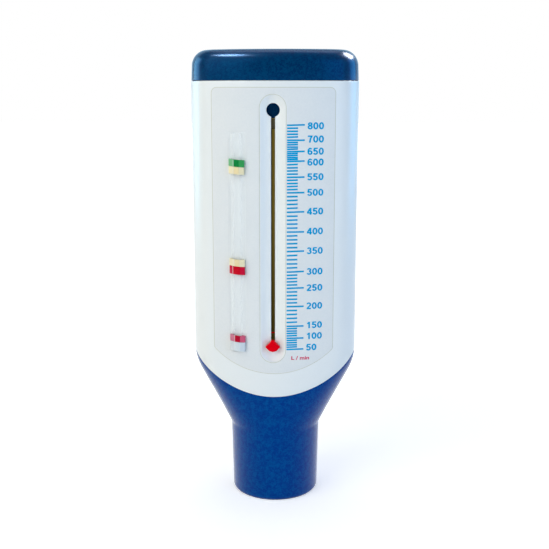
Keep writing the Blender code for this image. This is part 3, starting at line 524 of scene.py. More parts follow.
def carve(
    piece: bpy.types.Object, tools: Sequence[bpy.types.Object], operation: str = "DIFFERENCE"
) -> None:
    """Cuts, joins or crosses the piece with tool solids and drops the tools.

    Args:
        piece: The piece.
        tools: Closed pieces to cut it with.
        operation: DIFFERENCE, UNION or INTERSECT.
    """
    for tool in tools:
        change = piece.modifiers.new(tool.name, "BOOLEAN")
        change.object = tool
        change.operation = operation
        change.solver = "MANIFOLD"
    plain(piece)
    for tool in tools:
        bpy.data.objects.remove(tool, do_unlink=True)


def plain(piece: bpy.types.Object) -> None:
    """Turns the piece with its modifiers into a plain mesh.

    Args:
        piece: The piece.
    """
    graph = bpy.context.evaluated_depsgraph_get()
    piece.data = bpy.data.meshes.new_from_object(piece.evaluated_get(graph))
    piece.data.name = piece.name
    piece.modifiers.clear()


def weld(piece: bpy.types.Object, reach: float = 0.001 * MM) -> None:
    """Joins the points of a piece that lie closer together than the reach.

    Args:
        piece: The piece.
        reach: Greatest distance between points that are joined.
    """
    solid = bmesh.new()
    solid.from_mesh(piece.data)
    bmesh.ops.remove_doubles(solid, verts=solid.verts, dist=reach)
    solid.to_mesh(piece.data)
    solid.free()


def turn_out(piece: bpy.types.Object) -> None:
    """Turns the faces of each closed part of a piece outwards.

    Args:
        piece: A piece of closed parts.
    """
    solid = bmesh.new()
    solid.from_mesh(piece.data)
    bmesh.ops.recalc_face_normals(solid, faces=solid.faces)
    solid.to_mesh(piece.data)
    solid.free()


def bevel(piece: bpy.types.Object, width: float, segments: int = 3) -> None:
    """Rounds the sharp edges of a piece by the given width.

    Args:
        piece: The piece.
        width: Width of the rounding.
        segments: Faces across it.
    """
    change = piece.modifiers.new("edge", "BEVEL")
    change.width = width
    change.segments = segments
    change.limit_method = "ANGLE"
    change.angle_limit = math.radians(32.0)
    change.use_clamp_overlap = True
    plain(piece)


def shade(piece: bpy.types.Object, crease: float = 32.0) -> None:
    """Shades the piece smooth, with sharp edges above the crease angle in degrees."""
    piece.data.shade_smooth()
    piece.data.set_sharp_from_angle(angle=math.radians(crease))


def join(name: str, pieces: Sequence[bpy.types.Object]) -> bpy.types.Object:
    """Joins pieces into one mesh that keeps each one's finish.

    Args:
        name: Name of the whole.
        pieces: Pieces of one finish each, dropped afterwards.

    Returns:
        The whole.
    """
    points, faces, slots, finishes = [], [], [], []
    for piece in pieces:
        start = len(points)
        points += [tuple(v.co) for v in piece.data.vertices]
        material = piece.data.materials[0]
        if material not in finishes:
            finishes.append(material)
        for face in piece.data.polygons:
            faces.append([start + v for v in face.vertices])
            slots.append(finishes.index(material))
        bpy.data.objects.remove(piece, do_unlink=True)
    whole = make_piece(name, points, faces)
    for material in finishes:
        whole.data.materials.append(material)
    whole.data.polygons.foreach_set("material_index", slots)
    return whole


def settle(piece: bpy.types.Object, body: str, slot: str, *nodes: str) -> bpy.types.Object:
    """Puts a finished piece on its body, in place of the frame's nodes.

    Args:
        piece: The piece.
        body: Body that it rides on.
        slot: Material slot of the record that it stands for; not used.
        *nodes: Nodes of the frame that it stands for.

    Returns:
        The piece.
    """
    if nodes:
        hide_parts(*nodes)
    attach(piece, body)
    LOG.info("%s: %d faces on %s", piece.name, len(piece.data.polygons), body)
    return piece


def arc(centre: Pair, radius: float, start: float, end: float, steps: int) -> Outline:
    """Points of an arc, both ends included, with angles in radians."""
    angles = np.linspace(start, end, steps + 1)
    return [(centre[0] + radius * math.cos(a), centre[1] + radius * math.sin(a)) for a in angles]


def capsule(half_width: float, low: float, high: float, steps: int = 24) -> Outline:
    """Upright outline with round ends, between two heights."""
    top = arc((0.0, high - half_width), half_width, 0.0, math.pi, steps)
    return top + arc((0.0, low + half_width), half_width, math.pi, 2.0 * math.pi, steps)


def rounded(corners: Sequence[Point], steps: int = 8) -> Outline:
    """Outline whose corners (a, b, radius) are rounded to the radius given.

    Args:
        corners: The corners, in order round the outline.
        steps: Faces round a corner.

    Returns:
        The outline.
    """
    outline: Outline = []
    for i, (a, b, radius) in enumerate(corners):
        here = Vector((a, b))
        before = (Vector(corners[i - 1][:2]) - here).normalized()
        after = (Vector(corners[(i + 1) % len(corners)][:2]) - here).normalized()
        half = before.angle(after) / 2.0
        centre = here + (before + after).normalized() * (radius / math.sin(half))
        ends = []
        for side in (before, after):
            touch = here + side * (radius / math.tan(half)) - centre
            ends.append(math.atan2(touch.y, touch.x))
        turn = (ends[1] - ends[0] + math.pi) % (2.0 * math.pi) - math.pi
        outline += arc((centre.x, centre.y), radius, ends[0], ends[0] + turn, steps)
    return outline


def roll_over(distance: np.ndarray, radius: float) -> np.ndarray:
    """How far a surface stands back from its form at a distance from a rounded edge."""
    short = np.clip(radius - distance, 0.0, radius)
    return radius - np.sqrt(radius**2 - short**2)


# The form that the pieces share


@dataclass
class BodyForm:
    """Outer form of the meter: upright body, sloping shoulders and a round neck.

    Attributes:
        seam_z: Height of the line between the shells and the cap.
        shoulder_z: Height at which the sides begin to slope in.
        crease_z: Height at which the funnel meets the neck.
        half_w: Half the width of the body.
        half_d: Half its depth.
        corner_r: Radius of its corners, seen from above.
        side_flat: Depth of the flat from a corner's end to the seam.
        face_angle: Turn of the curved face from its middle to the corner.
        shoulder_r: Radius of the shoulder, seen from the front.
        shoulder_slope: Slope of the funnel's sides.
        neck_top_r: Radius of the neck at the crease.
        neck_rim_r: Radius of the neck at the rim.
        neck_angle: Turn of the face where the section has become round.
        edge_drop: Drop of the shells' lower edge below the shoulder, at the sides.
        edge_sag: Further drop of that edge in the middle.
        edge_fade: Height over which the shells' rows straighten out above that edge.
        gap: Width of the seams.
    """

    seam_z: float = 136.8 * MM
    shoulder_z: float = 50.5 * MM
    crease_z: float = 23.65 * MM
    half_w: float = 26.5 * MM
    half_d: float = 16.5 * MM
    corner_r: float = 10.85 * MM
    side_flat: float = 2.78 * MM
    face_angle: float = math.radians(20.76)
    shoulder_r: float = 15.5 * MM
    shoulder_slope: float = math.radians(26.7)
    neck_top_r: float = 14.85 * MM
    neck_rim_r: float = 14.3 * MM
    neck_angle: float = math.radians(24.0)
    edge_drop: float = 0.72 * MM
    edge_sag: float = 13.23 * MM
    edge_fade: float = 60.0 * MM
    gap: float = 0.05 * MM

    @property
    def face_r(self) -> float:
        """Radius of the curved face."""
        return self.corner_r + (self.half_w - self.corner_r) / math.sin(self.face_angle)

    @property
    def edge_r(self) -> float:
        """Radius of the line between the shells and the mouthpiece."""
        return (self.half_w**2 + self.edge_sag**2) / (2.0 * self.edge_sag)

    @property
    def edge_z(self) -> float:
        """Height of the centre of that line's arc."""
        return self.shoulder_z - self.edge_drop - self.edge_sag + self.edge_r

    def sizes(self, z: np.ndarray) -> tuple[np.ndarray, ...]:
        """Half width, half depth, corner radius and half face angle at heights z.

        Args:
            z: Heights.

        Returns:
            The four sizes, each in the shape of z.
        """
        share = np.clip((self.shoulder_z - z) / (self.shoulder_z - self.crease_z), 0.0, 1.0)
        up_neck = np.clip(z / self.crease_z, 0.0, 1.0)
        neck = self.neck_rim_r + (self.neck_top_r - self.neck_rim_r) * up_neck
        drop = np.clip(self.shoulder_z - z, 0.0, None)
        arc_drop = self.shoulder_r * math.sin(self.shoulder_slope)
        on_arc = self.half_w - self.shoulder_r + np.sqrt(
            self.shoulder_r**2 - np.clip(drop, 0.0, arc_drop) ** 2
        )
        slope_top = self.half_w - self.shoulder_r * (1.0 - math.cos(self.shoulder_slope))
        along = np.clip((drop - arc_drop) / (self.shoulder_z - self.crease_z - arc_drop), 0.0, 1.0)
        on_slope = slope_top + (self.neck_top_r - slope_top) * along
        half_w = np.where(drop < arc_drop, on_arc, on_slope)
        half_w = np.where(z < self.crease_z, neck, half_w)
        blend = share * share * (3.0 - 2.0 * share)
        half_d = self.half_d + (neck - self.half_d) * blend
        corner = self.corner_r + (neck - self.corner_r) * blend
        angle = self.face_angle + (self.neck_angle - self.face_angle) * blend
        return half_w, half_d, corner, angle

    def quarter(
        self, z: np.ndarray, place: np.ndarray, inset: np.ndarray | float = 0.0
    ) -> tuple[np.ndarray, np.ndarray]:
        """Points of the front right quarter of the outline.

        Args:
            z: Heights.
            place: 0 at the front, 1 where the face ends, 2 where the corner ends, 3 at the side.
            inset: Distance inside the form.

        Returns:
            X from 0 to the right and Y from the front back to 0.
        """
        half_w, half_d, corner, angle = self.sizes(z)
        half_w, half_d, corner = half_w - inset, half_d - inset, corner - inset
        spread = half_w - corner
        centre_y = -half_d + corner + spread * np.tan(angle / 2.0)
        face_r = corner + spread / np.sin(angle)
        on_face = np.clip(place, 0.0, 1.0)
        on_corner = np.clip(place - 1.0, 0.0, 1.0)
        turn = angle * on_face + (math.pi / 2.0 - angle) * on_corner
        front = (face_r * np.sin(turn), -half_d + face_r - face_r * np.cos(turn))
        corner_point = (spread + corner * np.sin(turn), centre_y - corner * np.cos(turn))
        x = np.where(place <= 1.0, front[0], corner_point[0])
        y = np.where(place <= 1.0, front[1], corner_point[1])
        return x, y * (1.0 - np.clip(place - 2.0, 0.0, 1.0))

    def ring(self, z: float, inset: float) -> list[Point]:
        """One whole outline at a height, as points.

        Args:
            z: Height of the points.
            inset: Distance inside the form.

        Returns:
            The points.
        """
        place = np.concatenate([
            np.linspace(0.0, 1.0, 20, endpoint=False), np.linspace(1.0, 2.0, 24), [2.5, 3.0],
        ])
        x, y = self.quarter(np.full_like(place, z), place, inset)
        right = list(zip(x, y))
        right += [(a, -b) for a, b in right[-2::-1]]
        return [(a, b, z) for a, b in right] + [(-a, b, z) for a, b in right[-2:0:-1]]

    def face_y(self, x: np.ndarray, z: np.ndarray) -> np.ndarray:
        """Y of the front surface at places X and Z on the body.

        Args:
            x: Places across the body.
            z: Heights.

        Returns:
            Y at each place.
        """
        half_w, half_d, corner, angle = self.sizes(z)
        spread = half_w - corner
        face_r = corner + spread / np.sin(angle)
        centre_y = -half_d + corner + spread * np.tan(angle / 2.0)
        across = np.abs(x)
        on_face = -half_d + face_r - np.sqrt(np.clip(face_r**2 - across**2, 0.0, None))
        on_corner = centre_y - np.sqrt(np.clip(corner**2 - (across - spread) ** 2, 0.0, None))
        return np.where(across <= face_r * np.sin(angle), on_face, on_corner)

    def edge_height(self, x: np.ndarray, offset: float) -> np.ndarray:
        """Height of the shells' lower edge at X, on a radius larger by the offset."""
        radius = self.edge_r + offset
        return self.edge_z - np.sqrt(np.clip(radius**2 - x**2, 0.0, None))

    def edge_low(self, offset: float) -> float:
        """Height of that edge in the middle, where it is lowest."""
        return self.edge_height(np.zeros(1), offset)[0]

    def edge_ends(self, place: np.ndarray, offset: float) -> np.ndarray:
        """Height at which each column of the outline meets that edge, closed in on by steps.

        Args:
            place: Place of each column on the outline.
            offset: Added to the edge's radius.

        Returns:
            The heights.
        """
        ends = np.full_like(place, self.edge_low(offset))
        for _ in range(30):
            ends = self.edge_height(self.quarter(ends, place)[0], offset)
        return ends

    def down_to_edge(self, levels: np.ndarray, place: np.ndarray, offset: float) -> np.ndarray:
        """Heights of each level and column, bent so that the lowest level follows the edge.

        Args:
            levels: Heights above the edge at the front, rising from zero.
            place: Place of each column on the outline.
            offset: Added to the edge's radius.

        Returns:
            Heights, [level, column].
        """
        low = self.edge_low(offset)
        ends = self.edge_ends(place, offset)
        share = np.clip(1.0 - levels / self.edge_fade, 0.0, 1.0)[:, None] ** 1.5
        return low + levels[:, None] + (ends - low)[None, :] * share


FORM = BodyForm()


def steps_between(*stops: Pair) -> np.ndarray:
    """Evenly stepped values through stops of (value, step up to the next stop).

    Args:
        *stops: The stops, of which the last one's step isn't used.

    Returns:
        The values.
    """
    parts = []
    for (start, step), (end, _) in zip(stops, stops[1:]):
        count = max(1, round((end - start) / step))
        parts.append(np.linspace(start, end, count, endpoint=False))
    return np.concatenate([*parts, [stops[-1][0]]])


# Shells


@dataclass
class HalfShell:
    """What the two halves of the white body have in common.

    Attributes:
        wall: Thickness of the wall.
        edge_r: Rounding of each outer edge.
        seam_steps: Distances of the last columns from the seam, fine for its rounding.
        end_steps: Distances of the first and last rows from the ends, fine for theirs.
    """

    wall: float = 1.8 * MM
    edge_r: float = 0.18 * MM
    seam_steps: tuple[float, ...] = (1.0, 0.6, 0.35, 0.24, 0.16, 0.1, 0.06, 0.05)
    end_steps: tuple[float, ...] = (0.0, 0.03, 0.08, 0.15, 0.22)

    def outer_y(self, x: np.ndarray, y: np.ndarray, z: np.ndarray) -> np.ndarray:
        """Y of the outer skin, from points of the front half of the form."""
        raise NotImplementedError

    def inner_y(self, x: np.ndarray, y: np.ndarray) -> np.ndarray:
        """Y of the inner skin, from points of the front half of the form."""
        raise NotImplementedError

    def columns(self, on_face: np.ndarray) -> np.ndarray:
        """Places of the columns from the middle to the seam, given those on the face."""
        to_seam = np.array(self.seam_steps) * MM / FORM.side_flat
        return np.concatenate([on_face, np.linspace(1.0, 2.0, 28), 3.0 - to_seam])

    def levels(self, *stops: Pair) -> np.ndarray:
        """Heights of the rows above the lower edge, through stops of (height, step above it).

        Args:
            *stops: Stops between the ends.

        Returns:
            The heights.
        """
        low = FORM.edge_low(-FORM.gap / 2.0)
        top = FORM.seam_z - FORM.gap / 2.0
        ends = np.array(self.end_steps) * MM
        first, last = low + 0.3 * MM, top - 0.3 * MM
        rows = steps_between((first, 0.7 * MM), *stops, (last, MM))
        return np.concatenate([low + ends, rows, top - ends[::-1]]) - low

    def grid(self, half: np.ndarray, levels: np.ndarray) -> np.ndarray:
        """Section loops of the shell, outer skin up and inner skin down.

        Args:
            half: Places of the columns from the middle to the seam.
            levels: Heights of the rows above the lower edge.

        Returns:
            Points, [row, column, 3].
        """
        side = np.concatenate([-np.ones(len(half) - 1), np.ones(len(half))])
        place = np.concatenate([half[:0:-1], half])
        z = FORM.down_to_edge(levels, place, -FORM.gap / 2.0)
        back = roll_over(z - z[:1, :], self.edge_r) + roll_over(z[-1:, :] - z, self.edge_r)
        where = np.broadcast_to(place, z.shape)
        x, y = FORM.quarter(z, where, back)
        to_seam = np.where(where > 2.0, (3.0 - where) * FORM.side_flat - FORM.gap / 2.0, 1.0)
        x = (x - roll_over(to_seam, self.edge_r)) * side
        outer = np.stack([x, self.outer_y(x, y, z), z], axis=2)
        few = np.linspace(len(levels) - 1, 0, 12).astype(int)
        z_in = z[few]
        x_in, y_in = FORM.quarter(z_in, np.broadcast_to(place, z_in.shape), self.wall)
        inner = np.stack([x_in * side, self.inner_y(x_in, y_in), z_in], axis=2)
        return np.concatenate([outer, inner])


@dataclass
class FrontShell(HalfShell):
    """Front half of the white body, with the pointer's trough, slot and keyhole.

    Attributes:
        lip: Height over which the trough's edge is softened.
        pad_half_w: Half the width of the thicker band round the slot.
        pad_y: Depth to which that band reaches.
        cut_to: Depth to which the slot and the keyhole are cut.
    """

    trough_half_w: float = 3.85 * MM
    trough_depth: float = 1.6 * MM
    trough_low: float = 48.65 * MM
    trough_high: float = 132.5 * MM
    lip: float = 0.3 * MM
    pad_half_w: float = 5.6 * MM
    pad_y: float = -13.6 * MM
    slot_half_w: float = 0.65 * MM
    slot_low: float = 52.7 * MM
    keyhole_r: float = 2.1 * MM
    keyhole_z: float = 128.0 * MM
    cut_to: float = -10.0 * MM

    def scooped(self, x: np.ndarray, y: np.ndarray, z: np.ndarray) -> np.ndarray:
        """Y of the front surface with the trough pressed into it and a soft lip.

        Args:
            x: Places across.
            y: Y of the form there.
            z: Heights.

        Returns:
            Y of the scooped surface.
        """
        radius = (self.trough_half_w**2 + self.trough_depth**2) / (2.0 * self.trough_depth)
        low, high = self.trough_low + self.trough_half_w, self.trough_high - self.trough_half_w
        off = np.hypot(x, z - np.clip(z, low, high))
        inside = np.clip(radius**2 - off**2, 0.0, None)
        floor = -FORM.half_d + np.sqrt(inside) - (radius - self.trough_depth)
        short = np.clip(self.lip - np.abs(floor - y), 0.0, None)
        return np.maximum(floor, y) + short**2 / (4.0 * self.lip)

    def outer_y(self, x: np.ndarray, y: np.ndarray, z: np.ndarray) -> np.ndarray:
        """Y of the outer skin: the form with the trough in it, up to the seam."""
        return np.minimum(self.scooped(x, y, z), -FORM.gap / 2.0)

    def inner_y(self, x: np.ndarray, y: np.ndarray) -> np.ndarray:
        """Y of the inner skin: thicker in a band round the slot, up to the seam."""
        banded = np.where(np.abs(x) < self.pad_half_w, np.maximum(y, self.pad_y), y)
        return np.minimum(banded, -FORM.gap / 2.0)

    def build(self) -> bpy.types.Object:
        """Builds the shell, fine at the trough's lip, and cuts its slot and keyhole.

        Returns:
            The piece.
        """
        near = steps_between(
            (0.0, 0.3 * MM), (3.0 * MM, 0.1 * MM), (4.6 * MM, 0.3 * MM), (5.5 * MM, 0.1 * MM),
            (5.7 * MM, 1.0 * MM), (19.4 * MM, 1.0 * MM),
        )
        half = self.columns(np.arcsin(near / FORM.face_r) / FORM.face_angle)
        levels = self.levels(
            (47.9 * MM, 0.14 * MM), (53.2 * MM, 1.6 * MM), (128.0 * MM, 0.14 * MM),
            (133.2 * MM, 0.8 * MM),
        )
        shell = skin("front_shell_fine", self.grid(half, levels), WHITE_SHELL, around=False)
        slot = crosswise("slot", [
            (-self.slot_half_w, self.slot_low), (self.slot_half_w, self.slot_low),
            (self.slot_half_w, self.keyhole_z), (-self.slot_half_w, self.keyhole_z),
        ], back=self.cut_to)
        keyhole = crosswise(
            "keyhole", arc((0.0, self.keyhole_z), self.keyhole_r, 0.0, 2.0 * math.pi, 64)[:-1],
            back=self.cut_to,
        )
        carve(shell, [slot, keyhole])
        shade(shell)
        return settle(shell, "housing", "white_shell", "front_shell")


@dataclass
class RearShell(HalfShell):
    """Rear half of the white body, with its row of air vents.

    Attributes:
        vent_low: Height of the lowest vent's lower edge.
        vent_from: Depth from which the vents are cut, inside the wall.
    """

    vent_half_w: float = 8.0 * MM
    vent_height: float = 1.6 * MM
    vent_pitch: float = 4.0 * MM
    vent_low: float = 97.4 * MM
    vent_from: float = 10.0 * MM
    vent_count: int = 5

    def outer_y(self, x: np.ndarray, y: np.ndarray, z: np.ndarray) -> np.ndarray:
        """Y of the outer skin: the form turned to the back, up to the seam."""
        return np.maximum(-y, FORM.gap / 2.0)

    def inner_y(self, x: np.ndarray, y: np.ndarray) -> np.ndarray:
        """Y of the inner skin: the form turned to the back, up to the seam."""
        return np.maximum(-y, FORM.gap / 2.0)

    def vent_tree(self) -> bpy.types.NodeTree:
        """Geometry Nodes tree that repeats the lowest vent's cutter up the wall.

        Returns:
            The tree.
        """
        tree, source = start_tree("vent_row", {
            "Count": "Int", "Pitch": "Float", "Plastic": "Material",
        })
        given = source.outputs
        row = add(tree, "GeometryNodeMeshLine", {
            "Count": given["Count"],
            "Offset": add(tree, "ShaderNodeCombineXYZ", {2: given["Pitch"]}).outputs[0],
        })
        placed = add(tree, "GeometryNodeInstanceOnPoints", {
            "Points": row.outputs[0], "Instance": given["Geometry"],
        })
        real = add(tree, "GeometryNodeRealizeInstances", {0: placed.outputs[0]})
        whole = add(tree, "GeometryNodeSetMaterial", {
            0: real.outputs[0], "Material": given["Plastic"],
        })
        add(tree, "NodeGroupOutput", {0: whole.outputs[0]})
        return tree

    def vents(self) -> bpy.types.Object:
        """The row of vent cutters as one plain mesh, each vent with round ends.

        Returns:
            The cutters.
        """
        across = capsule(self.vent_height / 2.0, -self.vent_half_w, self.vent_half_w, steps=12)
        outline = [(b, self.vent_low + self.vent_height / 2.0 - a) for a, b in across]
        piece = crosswise("vents", outline, front=self.vent_from)
        change = piece.modifiers.new("vent_row", "NODES")
        change.node_group = self.vent_tree()
        set_inputs(change, {
            "Count": self.vent_count, "Pitch": self.vent_pitch, "Plastic": WHITE_SHELL.material(),
        })
        plain(piece)
        return piece

    def build(self) -> bpy.types.Object:
        """Builds the shell and cuts its vents.

        Returns:
            The piece.
        """
        half = self.columns(np.linspace(0.0, 1.0, 26, endpoint=False))
        levels = self.levels((53.0 * MM, 4.0 * MM))
        shell = skin("rear_shell_fine", self.grid(half, levels), WHITE_SHELL, around=False)
        carve(shell, [self.vents()])
        shade(shell)
        return settle(shell, "housing", "white_shell", "rear_shell")


# Blue ends


@dataclass
class TopCap:
    """Blue cap with a rounded upper edge, and the boss that shows in the keyhole.

    Attributes:
        hollow: Depth of the hollow inside the wall.
        flat: How far the flat of the top stands in from its fillet.
        step: How far the lower edge stands in from the shells.
        draft: How far the top of the sides stands in from them.
        boss_edge: Chamfer of the boss.
        boss_root: Height of the boss's upper end over the shells.
    """

    top_z: float = 146.3 * MM
    fillet: float = 5.0 * MM
    wall: float = 2.4 * MM
    hollow: float = 6.0 * MM
    flat: float = 1.5 * MM
    step: float = 0.12 * MM
    draft: float = 0.3 * MM
    edge_r: float = 0.25 * MM
    boss_r: float = 12.2 * MM
    boss_inner_r: float = 9.2 * MM
    boss_low: float = 125.5 * MM
    boss_edge: float = 0.15 * MM
    boss_root: float = 4.0 * MM

    def rings(self) -> list[list[Point]]:
        """Rings from the inner lower edge out and up to the top.

        Returns:
            The rings.
        """
        low = FORM.seam_z + FORM.gap / 2.0
        rings = [self.ring_at(low + self.hollow, self.wall), self.ring_at(low, self.wall)]
        for a in np.linspace(0.0, math.pi / 2.0, 5):
            inset = self.step + self.edge_r * (1.0 - math.sin(a))
            rings.append(self.ring_at(low + self.edge_r * (1.0 - math.cos(a)), inset))
        start = self.top_z - self.fillet
        for a in np.linspace(0.0, math.pi / 2.0, 22):
            inset = self.draft + (self.fillet - self.draft) * (1.0 - math.cos(a))
            rings.append(self.ring_at(start + self.fillet * math.sin(a), inset))
        rings.append(self.ring_at(self.top_z, self.fillet + self.flat))
        return rings

    def ring_at(self, z: float, inset: float) -> list[Point]:
        """One ring of the cap's outline at a height."""
        return [(x, y, z) for x, y, _ in FORM.ring(FORM.seam_z, inset)]

    def build(self) -> bpy.types.Object:
        """Builds the cap and its boss as one piece.

        Returns:
            The piece.
        """
        cap = loft("cap_outside", self.rings(), CAP_BLUE)
        boss_rings = []
        root = FORM.seam_z + self.boss_root
        section = [
            (self.boss_inner_r, self.boss_low), (self.boss_r - self.boss_edge, self.boss_low),
            (self.boss_r, self.boss_low + self.boss_edge), (self.boss_r, root),
            (self.boss_inner_r, root),
        ]
        for a in np.linspace(0.0, 2.0 * math.pi, 96, endpoint=False):
            boss_rings.append([(r * math.sin(a), -r * math.cos(a), z) for r, z in section])
        boss = skin("boss", np.array(boss_rings).transpose(1, 0, 2), CAP_BLUE, around=True)
        whole = join("top_cap_fine", [cap, boss])
        shade(whole, 40.0)
        return settle(whole, "housing", "cap_blue", "top_cap")


@dataclass
class Mouthpiece:
    """Blue funnel and round neck, hollow for the breath.

    Attributes:
        crease_r: Softening of the crease between funnel and neck.
        bend_rise: Height over the crease at which the rows begin to follow the edge.
        funnel_rise: Height over the crease at which the funnel's inside ends.
        bore_rim_r: Radius of the bore above the rim's rounding.
        ledge_r: Radius of the bore through the ledge, from ledge_low to ledge_high.
        socket_r: Radius of the seat over the ledge.
    """

    rim_fillet: float = 1.1 * MM
    crease_r: float = 0.6 * MM
    bend_rise: float = 1.0 * MM
    funnel_rise: float = 3.0 * MM
    wall: float = 2.4 * MM
    edge_r: float = 0.25 * MM
    bore_rim_r: float = 12.6 * MM
    ledge_r: float = 10.4 * MM
    ledge_low: float = 16.6 * MM
    ledge_high: float = 18.4 * MM
    socket_r: float = 12.6 * MM

    def outer(self, place: np.ndarray) -> tuple[np.ndarray, np.ndarray]:
        """Heights and insets of the outside from the rim up to the shells.

        Args:
            place: Place of each column on the outline.

        Returns:
            Heights and insets, [row, column].
        """
        top = FORM.edge_low(FORM.gap / 2.0)
        rim = np.linspace(0.0, math.pi / 2.0, 7)
        rise = self.rim_fillet * (1.0 - np.cos(rim))
        heights = np.concatenate([
            rise, steps_between(
                (1.2 * MM, 3.0 * MM), (22.4 * MM, 0.14 * MM), (25.0 * MM, 0.7 * MM),
                (top - 0.25 * MM, 1.0),
            ),
            top - np.array([0.18, 0.12, 0.06, 0.02, 0.0]) * MM,
        ])
        ends = FORM.edge_ends(place, FORM.gap / 2.0)
        above = heights - FORM.crease_z - self.bend_rise
        share = np.clip(above / (top - FORM.crease_z - self.bend_rise), 0.0, 1.0)
        z = heights[:, None] + (ends - top)[None, :] * (share**1.2)[:, None]
        inset = np.zeros_like(z)
        inset[: len(rim)] = (self.rim_fillet * (1.0 - np.sin(rim)))[:, None]
        inset += roll_over((top - heights)[:, None], self.edge_r)
        return z, inset

    def build(self) -> bpy.types.Object:
        """Builds the mouthpiece as one closed skin, bore and ledge included.

        Returns:
            The piece.
        """
        half = np.concatenate([
            np.linspace(0.0, 1.0, 16, endpoint=False), np.linspace(1.0, 2.0, 20, endpoint=False),
            [2.0, 2.33, 2.66, 3.0],
        ])
        place = np.concatenate([half, half[-2::-1], half[1:], half[-2:0:-1]])
        quarter = len(half)
        across = np.ones(len(place))
        across[2 * quarter - 2 :] = -1.0
        across[0] = 1.0
        along = np.ones(len(place))
        along[quarter - 1 : 3 * quarter - 3] = -1.0
        z, inset = self.outer(place)
        where = np.broadcast_to(place, z.shape)
        x, y = FORM.quarter(z, where, inset)
        smooth = self.softened(x, y, z, where)
        outer = np.stack([smooth[0] * across, smooth[1] * along, z], axis=2)
        top = z[-1]
        x_top, y_top = FORM.quarter(top[None, :], place[None, :], self.wall)
        inner = [np.stack([x_top[0] * across, y_top[0] * along, top], axis=1)]
        z_low = np.full_like(top, FORM.crease_z + self.funnel_rise)
        x_low, y_low = FORM.quarter(z_low[None, :], place[None, :], self.wall)
        inner.append(np.stack([x_low[0] * across, y_low[0] * along, z_low], axis=1))
        direction = np.stack([x_low[0] * across, y_low[0] * along], axis=1)
        direction /= np.linalg.norm(direction, axis=1)[:, None]
        for radius, height in (
            (self.socket_r, FORM.crease_z + self.funnel_rise), (self.socket_r, self.ledge_high),
            (self.ledge_r, self.ledge_high), (self.ledge_r, self.ledge_low),
            (self.bore_rim_r, self.ledge_low), (self.bore_rim_r, self.rim_fillet),
            (self.bore_rim_r + self.rim_fillet * 0.3, self.rim_fillet * 0.3),
            (self.bore_rim_r + self.rim_fillet, 0.0),
        ):
            inner.append(np.column_stack([direction * radius, np.full(len(place), height)]))
        grid = np.concatenate([outer, np.stack(inner)])
        piece = skin("mouthpiece_fine", grid, NECK_BLUE, around=True)
        shade(piece, 40.0)
        return settle(piece, "housing", "neck_blue", "mouthpiece_funnel")

    def softened(
        self, x: np.ndarray, y: np.ndarray, z: np.ndarray, where: np.ndarray
    ) -> tuple[np.ndarray, np.ndarray]:
        """The outline with the crease between funnel and neck given a small radius.

        Args:
            x: X of the outline.
            y: Y of the outline.
            z: Heights.
            where: Places on the outline.

        Returns:
            X and Y of the softened outline.
        """
        near = np.clip(1.0 - np.abs(z - FORM.crease_z) / (2.0 * self.crease_r), 0.0, 1.0)
        x_up, y_up = FORM.quarter(z + self.crease_r, where)
        x_down, y_down = FORM.quarter(z - self.crease_r, where)
        share = near * near * 0.5
        soft_x = x + (0.5 * (x_up + x_down) - x) * share
        return soft_x, y + (0.5 * (y_up + y_down) - y) * share


# Scale


